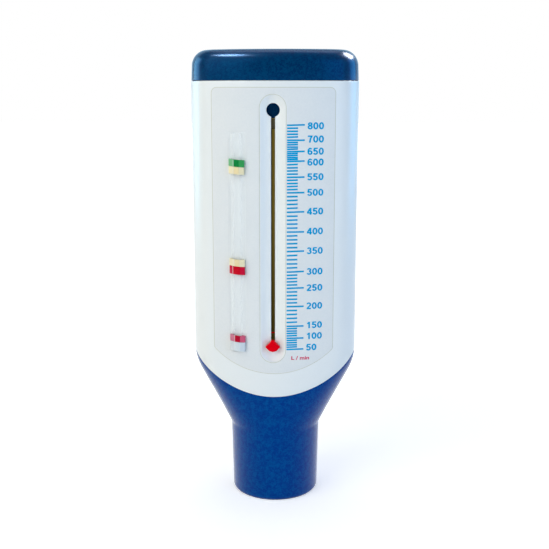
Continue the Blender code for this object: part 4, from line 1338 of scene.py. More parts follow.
@dataclass
class ScaleLabel:
    """Thin film on the front face, with openings for the trough and the rail.

    Attributes:
        corner_r: Radius of the upper corners.
        foot_r: Radius of the lower corners.
        sag: Drop of the lower edge's arc in the middle.
        film: Height of the film's face over the shell.
        edge: Height of its clear edge over the shell.
        border: Width of the clear edge.
        buried: Depth of the film's back under the shell's face.
        rail_corner_r: Radius of the corners of the rail's opening.
    """

    half_w: float = 19.0 * MM
    top_z: float = 134.7 * MM
    corner_r: float = 1.6 * MM
    foot_r: float = 1.2 * MM
    low_z: float = 44.8 * MM
    sag: float = 7.7 * MM
    film: float = 0.09 * MM
    edge: float = 0.04 * MM
    border: float = 0.16 * MM
    buried: float = 0.3 * MM
    opening_half_w: float = 4.17 * MM
    opening_low: float = 48.33 * MM
    opening_high: float = 132.82 * MM
    rail_half_w: float = 2.62 * MM
    rail_low: float = 51.75 * MM
    rail_high: float = 121.35 * MM
    rail_corner_r: float = 0.3 * MM

    def outline(self, margin: float) -> Outline:
        """Edge of the label made larger by the margin.

        Args:
            margin: How far it reaches past the printed film.

        Returns:
            The outline.
        """
        half_w = self.half_w + margin
        radius = (self.half_w**2 + self.sag**2) / (2.0 * self.sag) + margin
        centre_z = self.low_z - margin + radius
        corner = self.corner_r + margin
        foot = self.foot_r + margin
        reach = radius - foot
        side = math.acos((half_w - foot) / reach)
        low_corner = (half_w - foot, centre_z - reach * math.sin(side))
        points = arc((0.0, centre_z), radius, -math.pi + side, -side, 60)
        points += arc(low_corner, foot, -side, 0.0, 6)
        inner = (half_w - corner, self.top_z + margin - corner)
        points += arc(inner, corner, 0.0, math.pi / 2.0, 8)
        points += arc((-inner[0], inner[1]), corner, math.pi / 2.0, math.pi, 8)
        return points + arc((-low_corner[0], low_corner[1]), foot, math.pi, math.pi + side, 6)

    def layer(self, name: str, margin: float, proud: float, finish: Finish) -> bpy.types.Object:
        """One layer of the film, flat at first and then wrapped on to the body.

        Args:
            name: Name of the layer.
            margin: How far it reaches past the printed film on every edge.
            proud: Height of its face over the shell.
            finish: Its finish.

        Returns:
            The layer.
        """
        xs = np.linspace(-20.0, 20.0, 65) * MM
        zs = np.concatenate([np.arange(43.5, 52.0, 0.75), np.linspace(52.0, 135.5, 12)]) * MM
        sheets = []
        for depth in (-proud, self.buried):
            sheets.append(np.stack(np.meshgrid(xs, [depth], zs, indexing="ij"), axis=3)[:, 0])
        points = np.concatenate([s.reshape(-1, 3) for s in sheets])
        wide, tall = len(xs), len(zs)
        front, back = np.arange(2 * wide * tall).reshape(2, wide, tall)
        faces = []
        for i in range(wide - 1):
            for j in range(tall - 1):
                k, m = i + 1, j + 1
                faces.append([front[i, j], front[k, j], front[k, m], front[i, m]])
                faces.append([back[i, j], back[i, m], back[k, m], back[k, j]])
        for i in range(wide - 1):
            faces.append([front[i, 0], back[i, 0], back[i + 1, 0], front[i + 1, 0]])
            faces.append([front[i, -1], front[i + 1, -1], back[i + 1, -1], back[i, -1]])
        for j in range(tall - 1):
            faces.append([front[0, j], front[0, j + 1], back[0, j + 1], back[0, j]])
            faces.append([front[-1, j], back[-1, j], back[-1, j + 1], front[-1, j + 1]])
        sheet = make_piece(name, points, faces, finish)
        outwards(sheet)
        carve(sheet, [crosswise("edge", self.outline(margin))], "INTERSECT")
        trough = capsule(
            self.opening_half_w - margin, self.opening_low + margin, self.opening_high - margin,
            steps=40,
        )
        left, right = RAIL_X - self.rail_half_w, RAIL_X + self.rail_half_w
        rail = rounded([
            (right, self.rail_high, self.rail_corner_r), (left, self.rail_high, self.rail_corner_r),
            (left, self.rail_low, self.rail_corner_r), (right, self.rail_low, self.rail_corner_r),
        ])
        carve(sheet, [crosswise("trough_hole", trough), crosswise("rail_hole", rail)])
        wrap(sheet)
        return sheet

    def build(self) -> bpy.types.Object:
        """Builds the film over its slightly larger clear edge.

        Returns:
            The piece.
        """
        edge = self.layer("film_edge", self.border, self.edge, FILM_EDGE)
        film = self.layer("film", 0.0, self.film, LABEL_FILM)
        whole = join("scale_label_fine", [edge, film])
        shade(whole)
        return settle(whole, "housing", "label_film", "scale_label")


def wrap(piece: bpy.types.Object) -> None:
    """Bends a flat piece on to the front of the body; its Y is the depth under the surface.

    Args:
        piece: A piece in X, Z and depth.
    """
    mesh = piece.data
    points = np.zeros(len(mesh.vertices) * 3)
    mesh.vertices.foreach_get("co", points)
    points = points.reshape(-1, 3)
    points[:, 1] += FORM.face_y(points[:, 0], points[:, 2])
    mesh.vertices.foreach_set("co", points.ravel())
    mesh.update()


@dataclass(frozen=True)
class Stroke:
    """One stroke of a figure: its middle line, and whether it runs back into itself."""

    line: np.ndarray
    closed: bool = False


@dataclass(frozen=True)
class Figures:
    """Bold upright figures, each drawn as strokes in a cell one high.

    Attributes:
        upright: Half the width of an upright stroke.
        level: Half the width of a level stroke.
        advance: Step from one figure to the next.
        turn: Turn of a curve from one of its points to the next, in degrees.
    """

    upright: float = 0.128
    level: float = 0.104
    advance: float = 0.81
    turn: float = 12.0

    def bow(self, centre: Pair, reach: Pair, start: float, end: float) -> np.ndarray:
        """Part of an oval between two angles in degrees.

        Args:
            centre: Centre of the oval.
            reach: Its half width and half height.
            start: First angle.
            end: Last angle.

        Returns:
            Its points.
        """
        count = max(3, round(abs(end - start) / self.turn) + 1)
        angles = np.radians(np.linspace(start, end, count))
        return np.column_stack([
            centre[0] + reach[0] * np.cos(angles), centre[1] + reach[1] * np.sin(angles),
        ])

    def oval(self, centre: Pair, reach: Pair) -> Stroke:
        """A whole oval."""
        return Stroke(self.bow(centre, reach, 0.0, 360.0)[:-1], closed=True)

    def strokes(self, figure: str) -> list[Stroke]:
        """Strokes of one figure, its straight ones first.

        Args:
            figure: One figure from 0 to 8.

        Returns:
            Its strokes.
        """
        straight = {
            "1": [[(0.46, 0.0), (0.46, 1.0)], [(0.15, 0.74), (0.32, 0.77), (0.46, 0.93)]],
            "2": [[(0.06, 0.088), (0.72, 0.088)]],
            "4": [
                [(0.5, 0.93), (0.1, 0.32)], [(0.02, 0.27), (0.77, 0.27)],
                [(0.54, 0.0), (0.54, 1.0)],
            ],
            "5": [[(0.17, 0.912), (0.7, 0.912)], [(0.23, 0.97), (0.165, 0.47)]],
            "7": [[(0.04, 0.912), (0.74, 0.912)], [(0.66, 0.93), (0.46, 0.6), (0.34, 0.0)]],
        }
        lines = [Stroke(np.array(line)) for line in straight.get(figure, [])]
        if figure == "0":
            lines.append(self.oval((0.39, 0.5), (0.25, 0.412)))
        elif figure == "2":
            top = self.bow((0.38, 0.69), (0.235, 0.222), 165.0, -20.0)
            lines.append(Stroke(np.concatenate([top, [(0.5, 0.46), (0.28, 0.26), (0.17, 0.088)]])))
        elif figure == "3":
            lines.append(Stroke(self.bow((0.37, 0.73), (0.215, 0.182), 165.0, -90.0)))
            lines.append(Stroke(self.bow((0.375, 0.31), (0.25, 0.222), 90.0, -165.0)))
        elif figure == "5":
            lines.append(Stroke(self.bow((0.37, 0.335), (0.25, 0.247), 148.0, -160.0)))
        elif figure == "6":
            lines.append(self.oval((0.395, 0.32), (0.24, 0.232)))
            lines.append(Stroke(self.bow((0.41, 0.5), (0.262, 0.412), 42.0, 200.0)))
        elif figure == "8":
            lines.append(self.oval((0.39, 0.735), (0.21, 0.177)))
            lines.append(self.oval((0.39, 0.3), (0.245, 0.212)))
        return lines

    def band(self, stroke: Stroke) -> tuple[np.ndarray, np.ndarray]:
        """Left and right edge of a stroke.

        Args:
            stroke: The stroke.

        Returns:
            The points of both edges.
        """
        line = stroke.line
        if stroke.closed:
            along = np.roll(line, -1, axis=0) - np.roll(line, 1, axis=0)
        else:
            along = np.gradient(line, axis=0)
        along = along / np.linalg.norm(along, axis=1)[:, None]
        side = np.column_stack([-along[:, 1] * self.upright, along[:, 0] * self.level])
        return line + side, line - side


FIGURES = Figures()


@dataclass
class ScalePrint:
    """Printed ticks, numbers and unit of the scale.

    The heights of the ticks aren't even, and the numbers sit a little off them, as on the print.

    Attributes:
        numbers: Height of each number's tick and of its middle, in millimetres.
        between: Count of short ticks between two numbers.
        line: Width of a tick.
        ink: Half the thickness of the ink.
        overlap: Height of each stroke of a number over the one before.
        proud: Height of the film's face over the shell.
        tilt: Greatest tilt of a tick, in radians.
    """

    numbers: dict[int, Pair] = field(default_factory=lambda: {
        800: (123.44, 123.28), 700: (118.95, 119.28), 650: (115.5, 115.58), 600: (112.49, 112.28),
        550: (107.66, 107.78), 500: (102.92, 102.97), 450: (96.87, 97.11), 400: (90.68, 90.87),
        350: (84.52, 84.7), 300: (78.0, 78.1), 250: (72.77, 72.87), 200: (66.88, 67.01),
        150: (60.45, 60.74), 100: (56.54, 57.17), 50: (52.84, 53.42),
    })
    between: int = 4
    start_x: float = 4.35 * MM
    short_x: float = 7.7 * MM
    long_x: float = 9.75 * MM
    line: float = 0.52 * MM
    ink: float = 0.02 * MM
    overlap: float = 0.002 * MM
    number_x: float = 10.55 * MM
    number_h: float = 2.12 * MM
    unit_x: float = 5.9 * MM
    unit_z: float = 49.35 * MM
    unit_w: float = 5.7 * MM
    unit_h: float = 1.25 * MM
    proud: float = 0.09 * MM
    tilt: float = math.radians(2.2)

    def tick_points(self) -> bpy.types.Object:
        """One point for each tick, with its length.

        Returns:
            The points.
        """
        heights, lengths = [], []
        marks = [tick for tick, _ in self.numbers.values()]
        for upper, lower in zip(marks, marks[1:]):
            for step in range(self.between + 1):
                heights.append(upper + (lower - upper) * step / (self.between + 1))
                lengths.append((self.long_x if step == 0 else self.short_x) - self.start_x)
        heights.append(marks[-1])
        lengths.append(self.long_x - self.start_x)
        points = make_piece("scale_ticks", [(0.0, 0.0, z * MM) for z in heights], [])
        length = points.data.attributes.new("length", "FLOAT", "POINT")
        length.data.foreach_set("value", lengths)
        return points

    def tick_tree(self) -> bpy.types.NodeTree:
        """Geometry Nodes tree that prints one line at each point, wrapped round the face.

        Returns:
            The tree.
        """
        tree, source = start_tree("printed_ticks", {
            "Start": "Float", "Line width": "Float", "Ink height": "Float",
            "Face radius": "Float", "Face depth": "Float", "Tilt": "Float", "Ink": "Material",
        })
        given = source.outputs
        length = add(tree, "GeometryNodeInputNamedAttribute", {"Name": "length"}, data_type="FLOAT")
        bar = add(tree, "GeometryNodeMeshCube", {
            "Size": add(tree, "ShaderNodeCombineXYZ", {
                0: 1.0, 1: given["Ink height"], 2: given["Line width"],
            }).outputs[0],
            "Vertices X": 9,
        })
        moved = add(tree, "GeometryNodeTransform", {
            0: bar.outputs["Mesh"], "Translation": (0.5, 0.0, 0.0),
        })
        tilt = add(tree, "FunctionNodeRandomValue", {
            2: 0.0, 3: given["Tilt"], "Seed": 7,
        }, data_type="FLOAT").outputs[1]
        placed = add(tree, "GeometryNodeInstanceOnPoints", {
            "Points": add(tree, "GeometryNodeMeshToPoints", {0: given["Geometry"]}).outputs[0],
            "Instance": moved.outputs[0],
            "Rotation": add(tree, "ShaderNodeCombineXYZ", {
                1: add(tree, "ShaderNodeMath", {0: tilt, 1: -1.0}, operation="MULTIPLY").outputs[0],
            }).outputs[0],
            "Scale": add(tree, "ShaderNodeCombineXYZ", {
                0: length.outputs["Attribute"], 1: 1.0, 2: 1.0,
            }).outputs[0],
        })
        real = add(tree, "GeometryNodeRealizeInstances", {0: placed.outputs[0]})
        shifted = add(tree, "GeometryNodeTransform", {
            0: real.outputs[0],
            "Translation": add(tree, "ShaderNodeCombineXYZ", {0: given["Start"]}).outputs[0],
        })
        across = add(tree, "ShaderNodeSeparateXYZ", {
            0: add(tree, "GeometryNodeInputPosition").outputs[0],
        }).outputs["X"]
        square = add(tree, "ShaderNodeMath", {
            0: across, 1: across,
        }, operation="MULTIPLY").outputs[0]
        whole = add(tree, "ShaderNodeMath", {
            0: given["Face radius"], 1: given["Face radius"],
        }, operation="MULTIPLY").outputs[0]
        rest = add(tree, "ShaderNodeMath", {0: whole, 1: square}, operation="SUBTRACT").outputs[0]
        root = add(tree, "ShaderNodeMath", {0: rest}, operation="SQRT").outputs[0]
        bent = add(tree, "ShaderNodeMath", {
            0: given["Face depth"], 1: root,
        }, operation="SUBTRACT").outputs[0]
        wrapped = add(tree, "GeometryNodeSetPosition", {
            0: shifted.outputs[0],
            "Offset": add(tree, "ShaderNodeCombineXYZ", {1: bent}).outputs[0],
        })
        inked = add(tree, "GeometryNodeSetMaterial", {
            0: wrapped.outputs[0], "Material": given["Ink"],
        })
        add(tree, "NodeGroupOutput", {0: inked.outputs[0]})
        return tree

    def ticks(self) -> bpy.types.Object:
        """Prints the ticks and turns them into a plain mesh.

        Returns:
            The print.
        """
        piece = self.tick_points()
        change = piece.modifiers.new("ticks", "NODES")
        change.node_group = self.tick_tree()
        set_inputs(change, {
            "Start": self.start_x, "Line width": self.line, "Ink height": 2.0 * self.ink,
            "Face radius": FORM.face_r, "Face depth": FORM.face_r - FORM.half_d - self.proud,
            "Tilt": self.tilt, "Ink": CYAN_INK.material(),
        })
        plain(piece)
        self.ink_over(piece, CYAN_INK)
        return piece

    def ink_over(self, piece: bpy.types.Object, finish: Finish) -> None:
        """Gives every face of a print the one ink.

        Args:
            piece: The print.
            finish: The ink.
        """
        mesh = piece.data
        mesh.materials.clear()
        mesh.materials.append(finish.material())
        mesh.polygons.foreach_set("material_index", [0] * len(mesh.polygons))
        mesh.update()

    def number(self, value: int, middle: float) -> bpy.types.Object:
        """Prints one number as raised strokes of ink, wrapped on to the face.

        Args:
            value: The number.
            middle: Height of its middle.

        Returns:
            The print.
        """
        points, faces = [], []
        strokes = [
            (place, stroke) for place, figure in enumerate(str(value))
            for stroke in FIGURES.strokes(figure)
        ]
        for order, (place, stroke) in enumerate(strokes):
            left, right = FIGURES.band(stroke)
            start, count = len(points), len(left)
            top = -self.proud - self.ink - self.overlap * order
            foot = -self.proud + self.ink
            for edge, depth in ((left, top), (right, top), (left, foot), (right, foot)):
                across = self.number_x + (edge[:, 0] + place * FIGURES.advance) * self.number_h
                up = middle + (edge[:, 1] - 0.5) * self.number_h
                points += np.column_stack([across, np.full(count, depth), up]).tolist()
            for i in range(count if stroke.closed else count - 1):
                j = (i + 1) % count
                for a, b in ((0, 1), (1, 3), (3, 2), (2, 0)):
                    one, other = start + a * count, start + b * count
                    faces.append([one + i, other + i, other + j, one + j])
            if not stroke.closed:
                ends = [start + k * count for k in (0, 2, 3, 1)]
                faces.append(ends)
                faces.append([corner + count - 1 for corner in reversed(ends)])
        piece = make_piece(f"number_{value}", points, faces, CYAN_INK)
        turn_out(piece)
        wrap(piece)
        return piece

    def unit(self) -> bpy.types.Object:
        """Prints the scale's unit as raised ink, wrapped on to the face.

        Returns:
            The print.
        """
        curve = bpy.data.curves.new("unit", "FONT")
        curve.body = "L / min"
        curve.size = 1.0
        curve.offset = 0.03
        curve.resolution_u = 4
        curve.extrude = 0.5
        holder = bpy.data.objects.new("unit", curve)
        bpy.context.scene.collection.objects.link(holder)
        graph = bpy.context.evaluated_depsgraph_get()
        mesh = bpy.data.meshes.new_from_object(holder.evaluated_get(graph))
        bpy.data.objects.remove(holder, do_unlink=True)
        bpy.data.curves.remove(curve)
        points = np.zeros(len(mesh.vertices) * 3)
        mesh.vertices.foreach_get("co", points)
        points = points.reshape(-1, 3)
        low, high = points.min(axis=0), points.max(axis=0)
        across = (points[:, 0] - low[0]) / (high[0] - low[0]) * self.unit_w + self.unit_x
        up = (points[:, 1] - low[1]) / (high[1] - low[1]) * self.unit_h + self.unit_z
        depth = -self.proud - self.ink * np.sign(points[:, 2])
        mesh.vertices.foreach_set("co", np.column_stack([across, depth, up]).ravel())
        piece = bpy.data.objects.new("unit", mesh)
        bpy.context.scene.collection.objects.link(piece)
        weld(piece)
        self.ink_over(piece, PINK_INK)
        wrap(piece)
        return piece

    def build(self) -> bpy.types.Object:
        """Builds the whole print as one piece.

        Returns:
            The piece.
        """
        parts = [self.ticks()]
        for value, (_, middle) in self.numbers.items():
            parts.append(self.number(value, middle * MM))
        parts.append(self.unit())
        whole = join("scale_print", parts)
        return settle(whole, "housing", "label_film")


# Rail, markers and pointer


@dataclass
class RailFrame:
    """Frame of the zone rail: u across it and v out from the body's face."""

    x: float = RAIL_X

    def point(self, u: float, v: float) -> Pair:
        """X and Y of a place on the rail.

        Args:
            u: Place across the rail.
            v: Height over the face.

        Returns:
            X and Y.
        """
        sine = -self.x / FORM.face_r
        cosine = math.sqrt(1.0 - sine**2)
        face_y = -FORM.half_d + FORM.face_r * (1.0 - cosine)
        return self.x + u * cosine - v * sine, face_y - u * sine - v * cosine

    def prism(
        self, name: str, profile: Outline, cuts: Sequence[Pair], slant: float, finish: Finish
    ) -> bpy.types.Object:
        """A profile run up the rail.

        Args:
            name: Name of the piece.
            profile: Section in u and v.
            cuts: Height of each ring, and how far the ring shrinks towards its middle.
            slant: Fall of the ends for each metre to the right.
            finish: Finish of the piece.

        Returns:
            The piece.
        """
        middle = np.mean(profile, axis=0)
        rings = []
        for z, shrink in cuts:
            ring = []
            for u, v in profile:
                away = np.array([u, v]) - middle
                pulled = middle + away * (1.0 - shrink / max(np.linalg.norm(away), 1e-9))
                ring.append((*self.point(*pulled), z - slant * u))
            rings.append(ring)
        return loft(name, rings, finish)


RAIL = RailFrame()


def both_sides(right: Outline) -> Outline:
    """A closed profile from its right half, bottom to top."""
    return right + [(-u, v) for u, v in reversed(right)]


@dataclass
class ZoneRail:
    """Clear rail let into the face, with an undercut head that the markers clip on.

    Attributes:
        seat: Depth of the flange under the face.
        inner_r: Softening of the corner between flange and stem.
        end: Chamfer of both ends.
    """

    low: float = 51.9 * MM
    high: float = 121.2 * MM
    flange_half_w: float = 2.5 * MM
    flange_proud: float = 0.1 * MM
    stem_half_w: float = 0.95 * MM
    stem: float = 0.75 * MM
    head_half_w: float = 1.7 * MM
    head_edge: float = 0.08 * MM
    head_rise: float = 0.29 * MM
    top_half_w: float = 0.75 * MM
    round_r: float = 0.12 * MM
    seat: float = 0.3 * MM
    inner_r: float = 0.15 * MM
    end: float = 0.12 * MM

    def build(self) -> bpy.types.Object:
        """Builds the rail with softened corners and ends.

        Returns:
            The piece.
        """
        edge_v = self.stem + self.head_edge
        right = [
            (self.flange_half_w, -self.seat), (self.flange_half_w, 0.0),
            (self.flange_half_w - self.round_r, self.flange_proud),
            (self.stem_half_w + self.inner_r, self.flange_proud),
            (self.stem_half_w, self.flange_proud + self.inner_r),
            (self.stem_half_w, self.stem), (self.head_half_w - 0.05 * MM, self.stem),
            (self.head_half_w, self.stem + 0.05 * MM), (self.head_half_w - 0.04 * MM, edge_v),
            (self.top_half_w + 0.1 * MM, edge_v + self.head_rise - 0.02 * MM),
            (self.top_half_w, edge_v + self.head_rise),
        ]
        cuts = [
            (self.low, self.end), (self.low + self.end, 0.0),
            (self.high - self.end, 0.0), (self.high, self.end),
        ]
        piece = RAIL.prism("zone_rail_fine", both_sides(right), cuts, 0.0, CLEAR_RAIL)
        shade(piece, 25.0)
        return settle(piece, "housing", "clear_rail", "zone_rail")


@dataclass
class ZoneMarker:
    """One half of a sliding zone marker, in its own colour.

    Attributes:
        name: Node of the frame that it stands for.
        body: Body that it rides on.
        slot: Material slot of the record that it stands for.
        low: Height of its lower end.
        high: Height of its upper end.
        colour: Its colour.
        foot: Height of its underside over the face.
        shoulder: Height at which its sides turn in.
        slant: Fall of its ends to the right.
        half_gap: How far each end stands in from its height.
    """

    name: str
    body: str
    slot: str
    low: float
    high: float
    colour: MarkerColour
    half_w: float = 2.45 * MM
    foot: float = 0.25 * MM
    shoulder: float = 1.13 * MM
    top: float = 1.82 * MM
    top_half_w: float = 0.8 * MM
    wall: float = 0.4 * MM
    hook_half_w: float = 1.25 * MM
    hook_top: float = 0.5 * MM
    slant: float = 0.09
    round_r: float = 0.1 * MM
    half_gap: float = 0.03 * MM

    def profile(self) -> Outline:
        """Section: a roof over the rail's head, with a hook under each side.

        Returns:
            The section in u and v.
        """
        outer = rounded([
            (self.half_w, self.foot, self.round_r),
            (self.half_w, self.shoulder, self.round_r * 2.0),
            (self.top_half_w, self.top, self.round_r * 2.0),
            (0.0, self.top + 0.001 * MM, 0.01 * MM),
            (0.0, self.foot, 0.01 * MM),
        ], steps=4)[:15]
        inner = [
            (self.top_half_w - 0.05 * MM, self.top - self.wall),
            (self.half_w - self.wall, self.shoulder - 0.13 * MM),
            (self.half_w - self.wall, self.hook_top),
            (self.hook_half_w, self.hook_top), (self.hook_half_w, self.foot),
        ]
        left_outer = [(-u, v) for u, v in reversed(outer)]
        left_inner = [(-u, v) for u, v in reversed(inner)]
        return outer + left_outer + left_inner + inner

    def build(self) -> bpy.types.Object:
        """Builds the half marker between its two heights.

        Returns:
            The piece.
        """
        cuts = [(self.low + self.half_gap, 0.0), (self.high - self.half_gap, 0.0)]
        piece = RAIL.prism(f"{self.name}_fine", self.profile(), cuts, self.slant, self.colour.value)
        shade(piece, 25.0)
        return settle(piece, self.body, self.slot, self.name)


@dataclass
class Pointer:
    """Red pointer: a lozenge in the trough, a neck through the slot and a foot behind it.

    Attributes:
        z: Height that its parts are measured from.
        up: Reach of the lozenge over that height.
        down: Its reach under it.
        widest: Place of its widest point.
        dome: Height of the dome on its front.
        drawn_in: Share by which the front is smaller than the rest.
        trough_r: Radius of the trough behind it.
        trough_depth: Depth of that trough.
        clearance: Space left between it and the trough.
        bed_half_w: Half width past which its back is flat.
        bar: Height of the bar over the foot's window.
        window_gap: Space between the neck and that window.
        neck_front: Depth at which the neck begins, inside the lozenge.
        neck_overlap: How far the neck runs into the foot.
    """

    z: float = 53.9 * MM
    half_w: float = 2.5 * MM
    up: float = 1.85 * MM
    down: float = 1.95 * MM
    widest: float = -0.2 * MM
    front_y: float = -17.2 * MM
    edge_r: float = 0.5 * MM
    neck_half_w: float = 0.35 * MM
    neck_half_h: float = 0.8 * MM
    foot_half_w: float = 1.9 * MM
    foot_y: float = -13.3 * MM
    foot_thick: float = 0.7 * MM
    foot_low: float = 50.5 * MM
    foot_high: float = 57.7 * MM
    window_half_w: float = 1.2 * MM
    window_gap: float = 0.3 * MM
    bar: float = 0.3 * MM
    neck_front: float = -15.8 * MM
    neck_overlap: float = 0.3 * MM
    dome: float = 0.12 * MM
    drawn_in: float = 0.22
    trough_r: float = 5.43 * MM
    trough_depth: float = 1.6 * MM
    clearance: float = 0.35 * MM
    bed_half_w: float = 2.4 * MM

    def outline(self) -> np.ndarray:
        """Lozenge seen from the front, drawn in to a narrow top.

        Returns:
            Points in X and Z from its middle.
        """
        corners = [
            (0.55 * MM, self.up, 0.35 * MM), (0.95 * MM, self.up - 0.75 * MM, 0.5 * MM),
            (self.half_w, self.widest, 0.35 * MM), (1.15 * MM, -self.down + 0.35 * MM, 0.5 * MM),
            (0.0, -self.down, 1.2 * MM), (-1.15 * MM, -self.down + 0.35 * MM, 0.5 * MM),
            (-self.half_w, self.widest, 0.35 * MM), (-0.95 * MM, self.up - 0.75 * MM, 0.5 * MM),
            (-0.55 * MM, self.up, 0.35 * MM),
        ]
        return np.array(rounded(corners, steps=6))

    def head(self) -> bpy.types.Object:
        """The lozenge, domed in front and bedded to the trough behind.

        Returns:
            The lozenge.
        """
        shape = self.outline()
        axis_y = -FORM.half_d + self.trough_depth - self.trough_r
        bed_r = self.trough_r - self.clearance
        rings = []
        bed = [math.sqrt(bed_r**2 - min(abs(x), self.bed_half_w) ** 2) for x, _ in shape]
        rings.append([(x * 0.96, axis_y + y, self.z + z * 0.96) for (x, z), y in zip(shape, bed)])
        for a in np.linspace(0.0, math.pi / 2.0, 7):
            scale = 1.0 - self.drawn_in * (1.0 - math.cos(a))
            y = self.front_y + self.edge_r * (1.0 - math.sin(a)) + self.dome
            rings.append([(x * scale, y, self.z + z * scale) for x, z in shape])
        for scale in (0.6, 0.4, 0.2, 0.06):
            y = self.front_y + self.dome * scale / (1.0 - self.drawn_in)
            rings.append([(x * scale, y, self.z + z * scale) for x, z in shape])
        return loft("head", rings, POINTER_RED)

    def block(self, name: str, half_w: float, low: Pair, high: Pair) -> bpy.types.Object:
        """A plain block with rounded edges, centred on the slot, between corners (y, z).

        Args:
            name: Name of the block.
            half_w: Half its width.
            low: Its front lower corner.
            high: Its rear upper corner.

        Returns:
            The block.
        """
        outline = [(-half_w, low[1]), (half_w, low[1]), (half_w, high[1]), (-half_w, high[1])]
        piece = crosswise(name, outline, low[0], high[0])
        piece.data.materials.append(POINTER_RED.material())
        bevel(piece, 0.08 * MM, 2)
        return piece

    def build(self) -> bpy.types.Object:
        """Builds the pointer as one piece.

        Returns:
            The piece.
        """
        neck_top = self.z + self.neck_half_h
        neck = self.block(
            "neck", self.neck_half_w, (self.neck_front, self.z - self.neck_half_h),
            (self.foot_y + self.neck_overlap, neck_top),
        )
        foot = self.block(
            "foot", self.foot_half_w, (self.foot_y, self.foot_low),
            (self.foot_y + self.foot_thick, self.foot_high),
        )
        window = capsule(
            self.window_half_w, neck_top + self.window_gap, self.foot_high - self.bar,
        )
        carve(foot, [crosswise("window", window)])
        whole = join("pointer_fine", [self.head(), neck, foot])
        shade(whole, 40.0)
        return settle(whole, "pointer_body", "pointer_red", "pointer")


@dataclass
class InnerWorks:
    """Pieces behind the shells: the frame's own nodes with their finishes."""

    finishes: dict[str, Finish] = field(default_factory=lambda: {
        "measuring_barrel": BARREL_SHADE_OLIVE, "barrel_gasket": RUBBER, "inlet_spider": SPIDER_WHITE,
        "guide_rod": ROD_STEEL, "rod_clip": STEEL, "top_buffer": RUBBER, "piston": PISTON_GREY,
        "return_spring": STEEL,
    })

    def build(self) -> None:
        """Gives each node its finish."""
        for name, finish in self.finishes.items():
            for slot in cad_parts[name].material_slots:
                slot.link = "OBJECT"
                slot.material = finish.material()
            LOG.info("%s: %s", name, finish.name)


# Studio


